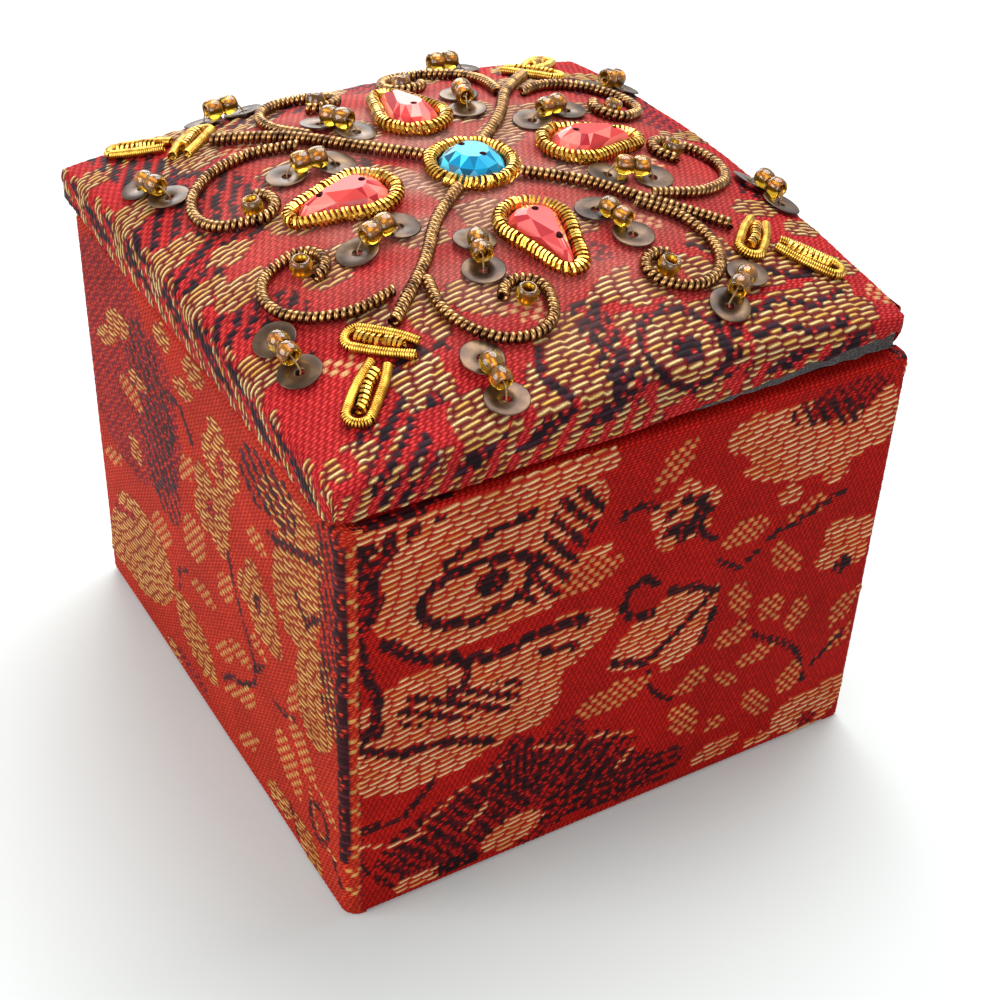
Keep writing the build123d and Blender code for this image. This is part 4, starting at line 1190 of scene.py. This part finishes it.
def sequinShape(x, y, seed):
    origin, ahead, aside, normal = seatFrame(x, y, 0)
    dice = np.random.default_rng(seed)
    radii = [sequin["hole"], sequin["hole"] + 0.08, 1.1, sequin["radius"] - 0.08, sequin["radius"]]
    profile = [(r, sequin["dish"] * (r / sequin["radius"]) ** 2) for r in radii]
    rim = 0.6 * sequin["thick"]  # the film's edges are rounded off
    top = [(r, h + sequin["thick"]) for r, h in profile[1:-1]]
    section = [(radii[0], profile[0][1] + rim), *top, (radii[-1], profile[-1][1] + rim), *reversed(profile)]
    ring = np.linspace(0, 2 * math.pi, sequin["around"], endpoint=False)
    tiltX, tiltY = np.radians(dice.normal(0, sequin["tilt"], 2))
    points = []
    for r, h in section:
        a, b = r * np.cos(ring), r * np.sin(ring)
        c = h + a * tiltX + b * tiltY + 0.12
        points.append(origin + a[:, None] * ahead + b[:, None] * aside + c[:, None] * normal)
    points = np.vstack(points)
    return points, gridFaces(len(section), sequin["around"], closeRows=True, closeColumns=True)


# Seed beads: a rounded ring of glass; the hole's wall carries the gilt lining
bead = {"radius": 0.98, "hole": 0.36, "length": 1.55, "around": 26}


def beadShape(centre, axis, seed):
    dice = np.random.default_rng(seed)
    size = 1 + dice.normal(0, 0.03)
    axis = unit(axis + dice.normal(0, 0.06, 3))
    helper = np.array((0, 0, 1.0)) if abs(axis[2]) < 0.9 else np.array((1.0, 0, 0))
    side = unit(np.cross(axis, helper))
    other = np.cross(axis, side)
    half = bead["length"] / 2 * size
    wall = (bead["radius"] - bead["hole"]) / 2
    outer = [(bead["hole"] + wall + wall * math.cos(a), half * math.sin(a) * (1 - 0.12 * math.cos(a) ** 2))
             for a in np.linspace(-math.pi * 0.62, math.pi * 0.62, 13)]
    inner = [(bead["hole"], half * 0.62), (bead["hole"] - 0.03, 0.0), (bead["hole"], -half * 0.62)]
    section = outer + inner
    ring = np.linspace(0, 2 * math.pi, bead["around"], endpoint=False)
    points = []
    for r, h in section:
        r = r * size
        points.append(centre + h * axis + r * (np.cos(ring)[:, None] * side + np.sin(ring)[:, None] * other))
    faces = gridFaces(len(section), bead["around"], closeRows=True, closeColumns=True)
    lining = np.zeros(len(faces), int)
    lining[(len(outer) - 1) * bead["around"]:] = 1
    return np.vstack(points), faces, lining


def addBeads(name, beads, nodeName):
    points, faces = gather([(p, f) for p, f, _ in beads])
    piece = addPiece(name, points, faces, [beadGlass, beadLining])
    piece.data.polygons.foreach_set("material_index", np.concatenate([m for _, _, m in beads]).tolist())
    settle(piece, "lid", [nodeName])


sequinShapes, pairBeads, threadRuns = [], [], []
number = 0
for corner, pairs in sequinPairs.items():
    for along, across, turn, spacing in pairs:
        heading = math.radians(corners[corner][0] + turn)
        x, y = spot(corner, along, across)
        origin, ahead, aside, normal = seatFrame(x, y, corners[corner][0] + turn)
        lift = sequin["thick"] + bead["radius"] + layout["threadGap"] + 0.1
        ends = []
        for way in (-1, 1):
            number += 1
            discX = x + way * math.cos(heading) * spacing / 2
            discY = y + way * math.sin(heading) * spacing / 2
            sequinShapes.append(sequinShape(discX, discY, 100 + number))
            centre = origin + normal * lift + ahead * way * (bead["length"] / 2 + 0.05)
            pairBeads.append(beadShape(centre, ahead, 200 + number))
            ends.append((discX, discY))
        threadRuns.append((ends[0], origin + normal * lift, ends[1], ahead))
points, faces = gather(sequinShapes)
sequinPiece = addPiece("sequin_discs", points, faces, [sequinFilm])
settle(sequinPiece, "lid", ["sequins"])
addBeads("seed_bead_pairs", pairBeads, "seed_beads")

eyeBeads = []
for corner, pair in curls.items():
    for which, (eyeAlong, eyeAcross, leaveAlong, bow) in enumerate(pair):
        number += 1
        x, y = spot(corner, eyeAlong, eyeAcross)
        origin, ahead, aside, normal = seatFrame(x, y, 0)
        eyeBeads.append(beadShape(origin + normal * (bead["length"] / 2 - 0.1), normal, 200 + number))
addBeads("eye_beads", eyeBeads, "curl_beads")
print("beads and sequins sewn")


# Sewing thread through each pair of beads and down into the sequins' holes
def roundTube(places, radius, sides=6):
    places = np.asarray(places, float)
    ahead = unit(np.gradient(places, axis=0))
    helper = np.array((0.13, 0.2, 1.0))
    side = unit(np.cross(ahead, helper))
    return tubeRound(places, radius, side, np.cross(side, ahead), sides)


threads = []
rise = (0, 0, 0.5)  # the thread comes straight up out of the sequin's hole
for (x0, y0), top, (x1, y1), ahead in threadRuns:
    first = np.array((x0, y0, float(crown(x0, y0)) - 0.1))
    last = np.array((x1, y1, float(crown(x1, y1)) - 0.1))
    reach = bead["length"] + 0.15
    points = [first, first + rise, top - ahead * reach, top, top + ahead * reach, last + rise, last]
    threads.append(roundTube(points, 0.08))
points, faces = gather(threads)
stitches = addPiece("bead_stitches", points, faces, [sewingThread])
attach(stitches, "lid")

# Velvet pieces: soft slabs with rounded, slightly crushed edges, on the places of the frame's nodes;
# the lid's grows out under the brocade towards the right corner
slab = {"edge": 0.22, "crush": 0.06, "cells": 44}


def buildSlab(name, node, body, grow=0.0, thicker=0.0, seed=1):
    low, high = boxOf(node)
    high = high + (grow, 0, thicker)
    size = high - low
    thin = int(np.argmin(size))
    axes = [axis for axis in range(3) if axis != thin]
    cells = slab["cells"]
    edge = np.array([0, slab["edge"] * 0.3])
    grids = []
    for axis in axes:
        inner = np.linspace(slab["edge"], size[axis] - slab["edge"], cells)
        grids.append(np.concatenate([edge, inner, size[axis] - edge[::-1]]))
    u, v = np.meshgrid(*grids, indexing="ij")
    nearU = np.minimum(u, size[axes[0]] - u)
    nearV = np.minimum(v, size[axes[1]] - v)
    near = np.clip(np.minimum(nearU, nearV) / slab["edge"], 0, 1)
    drop = slab["edge"] * (1 - np.sqrt(np.clip(1 - (1 - near) ** 2, 0, 1)))
    sheets = []
    for top in (True, False):
        wave = slab["crush"] * (1 + ripple(u, v, 5, 6, seed + top))
        level = size[thin] - drop - wave * near if top else drop + 0 * wave
        place = np.zeros((*u.shape, 3))
        place[..., axes[0]], place[..., axes[1]], place[..., thin] = u, v, level
        tucked = 1 - np.clip((v - 8) / 30, 0, 1) + 0.35 * (1 + ripple(u, v, 2.4, 6, seed + 7))
        place[..., axes[0]] -= grow * tucked * (u / size[axes[0]]) ** 8
        sheets.append(place + low)
    rows, columns = u.shape
    faces = gridFaces(rows, columns)
    border = np.concatenate([
        np.arange(columns), np.arange(1, rows) * columns + columns - 1,
        (rows - 1) * columns + np.arange(columns - 2, -1, -1), np.arange(rows - 2, 0, -1) * columns,
    ])
    count = rows * columns
    ahead = np.roll(border, -1)
    skirt = np.stack([border, border + count, ahead + count, ahead], -1)
    points = np.vstack([sheets[0].reshape(-1, 3), sheets[1].reshape(-1, 3)])
    allFaces = np.vstack([faces, faces[:, ::-1] + count, skirt])
    piece = addPiece(name, points, allFaces, [velvet])
    settle(piece, body, [node])


for number, side in enumerate(("front", "back", "left", "right")):
    buildSlab(f"{side}_velvet", f"{side}_lining", "box", seed=300 + number)
buildSlab("floor_velvet", "floor_pad", "box", seed=310)
buildSlab("lid_velvet", "lid_felt", "lid", grow=1.1, thicker=1.2, seed=311)
print("velvet laid")

# Hinge: a brocade strip glued to the wall and the lid's edge, looped at the gap
hinge = {"wallLeg": 8.0, "bulge": 0.9, "thick": 0.35, "fold": 0.6, "columns": 150}


def buildHinge():
    low, high = boxOf("hinge_cloth")
    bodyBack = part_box("back_cover")[1].y / mm
    wallLine = bodyBack + hinge["thick"] * 0.6
    lidLine = lidHigh[1] + hinge["thick"] * 0.6
    loopBottom = bodyHeight - hinge["fold"]
    loopTop = lidBottom + hinge["fold"]
    profile = [(wallLine, low[2])]
    for share in np.linspace(0, 1, 12):
        profile.append((wallLine, low[2] + share * (loopBottom - low[2])))
    for turn in np.linspace(-math.pi / 2, math.pi / 2, 13):
        lean = (math.sin(turn) + 1) / 2
        out = (1 - lean) * wallLine + lean * lidLine + hinge["bulge"] * math.cos(turn)
        profile.append((out, (loopBottom + loopTop) / 2 + (loopTop - loopBottom) / 2 * math.sin(turn)))
    profile.append((lidLine, high[2] - 0.4))
    profile.append((lidLine - 0.1, high[2]))
    profile = np.array(profile)
    run = np.concatenate([[0], np.cumsum(np.hypot(*np.diff(profile, axis=0).T))])
    s, t, relief, colour, gloss = weaveFace(low[0], high[0], 0, run[-1], rightMotifs, "right", 77)
    y = np.interp(t, run, profile[:, 0]) + relief * 0.6
    z = np.interp(t, run, profile[:, 1]) + 0 * relief
    points = np.stack([s + 0 * relief, np.minimum(y, high[1] + 0.1), z], -1)
    piece = addPiece("hinge_brocade", points.reshape(-1, 3), gridFaces(*relief.shape)[:, ::-1], [brocade])
    setThreadColour(piece, colour, gloss)
    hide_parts("hinge_cloth")
    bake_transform(piece)


buildHinge()
print("hinge glued")

# Frame parts that stay as they are get their real finishes
boards = ["front_board", "back_board", "left_board", "right_board", "base_board", "lid_board", "lid_card"]
for node, finish in [(board, greyBoard) for board in boards] + [("base_cover", bookCloth)]:
    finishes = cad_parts[node].data.materials
    finishes.clear()
    finishes.append(finish)

# Floor and studio: pale ground, one broad lamp overhead, two soft fills and a weak rim light
studio = {
    "floor": "#c0c4c3", "sky": "#f5f6f5", "world": 0.46, "floorHalf": 900,
    "lamps": [
        {"name": "overhead", "place": (-120, 160, 420), "size": 380, "watts": 2.8},
        {"name": "fill", "place": (380, -160, 200), "size": 320, "watts": 1.3},
        {"name": "side", "place": (-60, -400, 190), "size": 300, "watts": 1.5},
        {"name": "rim", "place": (-260, 60, 160), "size": 200, "watts": 0.5},
    ],
}


def buildStudio():
    half = studio["floorHalf"]
    ground = [(-half, -half, 0), (half, -half, 0), (half, half, 0), (-half, half, 0)]
    floor = addPiece("floor", ground, [(0, 1, 2, 3)], [])
    material, tree, surface = newMaterial("paleFloor")
    surface.inputs["Base Color"].default_value = rgba(studio["floor"])
    surface.inputs["Roughness"].default_value = 0.85
    floor.data.materials.append(material)
    world = bpy.data.worlds.new("studio")
    bpy.context.scene.world = world
    world.use_nodes = True
    tree = world.node_tree
    background = tree.nodes["Background"]
    rays = addNode(tree, "ShaderNodeLightPath")
    direct = rays.outputs["Is Camera Ray"]
    for kind in ("Is Glossy Ray", "Is Transmission Ray"):
        either = addNode(tree, "ShaderNodeMath", {0: direct, 1: rays.outputs[kind]}, operation="MAXIMUM")
        direct = either.outputs[0]
    seen = addNode(tree, "ShaderNodeMix", {0: direct, 2: studio["world"], 3: 1.0})
    tree.links.new(seen.outputs[0], background.inputs["Strength"])
    background.inputs["Color"].default_value = rgba(studio["sky"])
    for lamp in studio["lamps"]:
        data = bpy.data.lights.new(lamp["name"], "AREA")
        data.shape = "DISK"
        data.size = lamp["size"] * mm
        data.energy = lamp["watts"]
        light = bpy.data.objects.new(lamp["name"], data)
        light.location = Vector(lamp["place"]) * mm
        aim = Vector((0, 0, 0.03)) - light.location
        light.rotation_mode = "QUATERNION"
        light.rotation_quaternion = aim.to_track_quat("-Z", "Y")
        bpy.context.scene.collection.objects.link(light)
    bpy.context.scene.view_settings.view_transform = "Standard"


buildStudio()
print("studio lit")
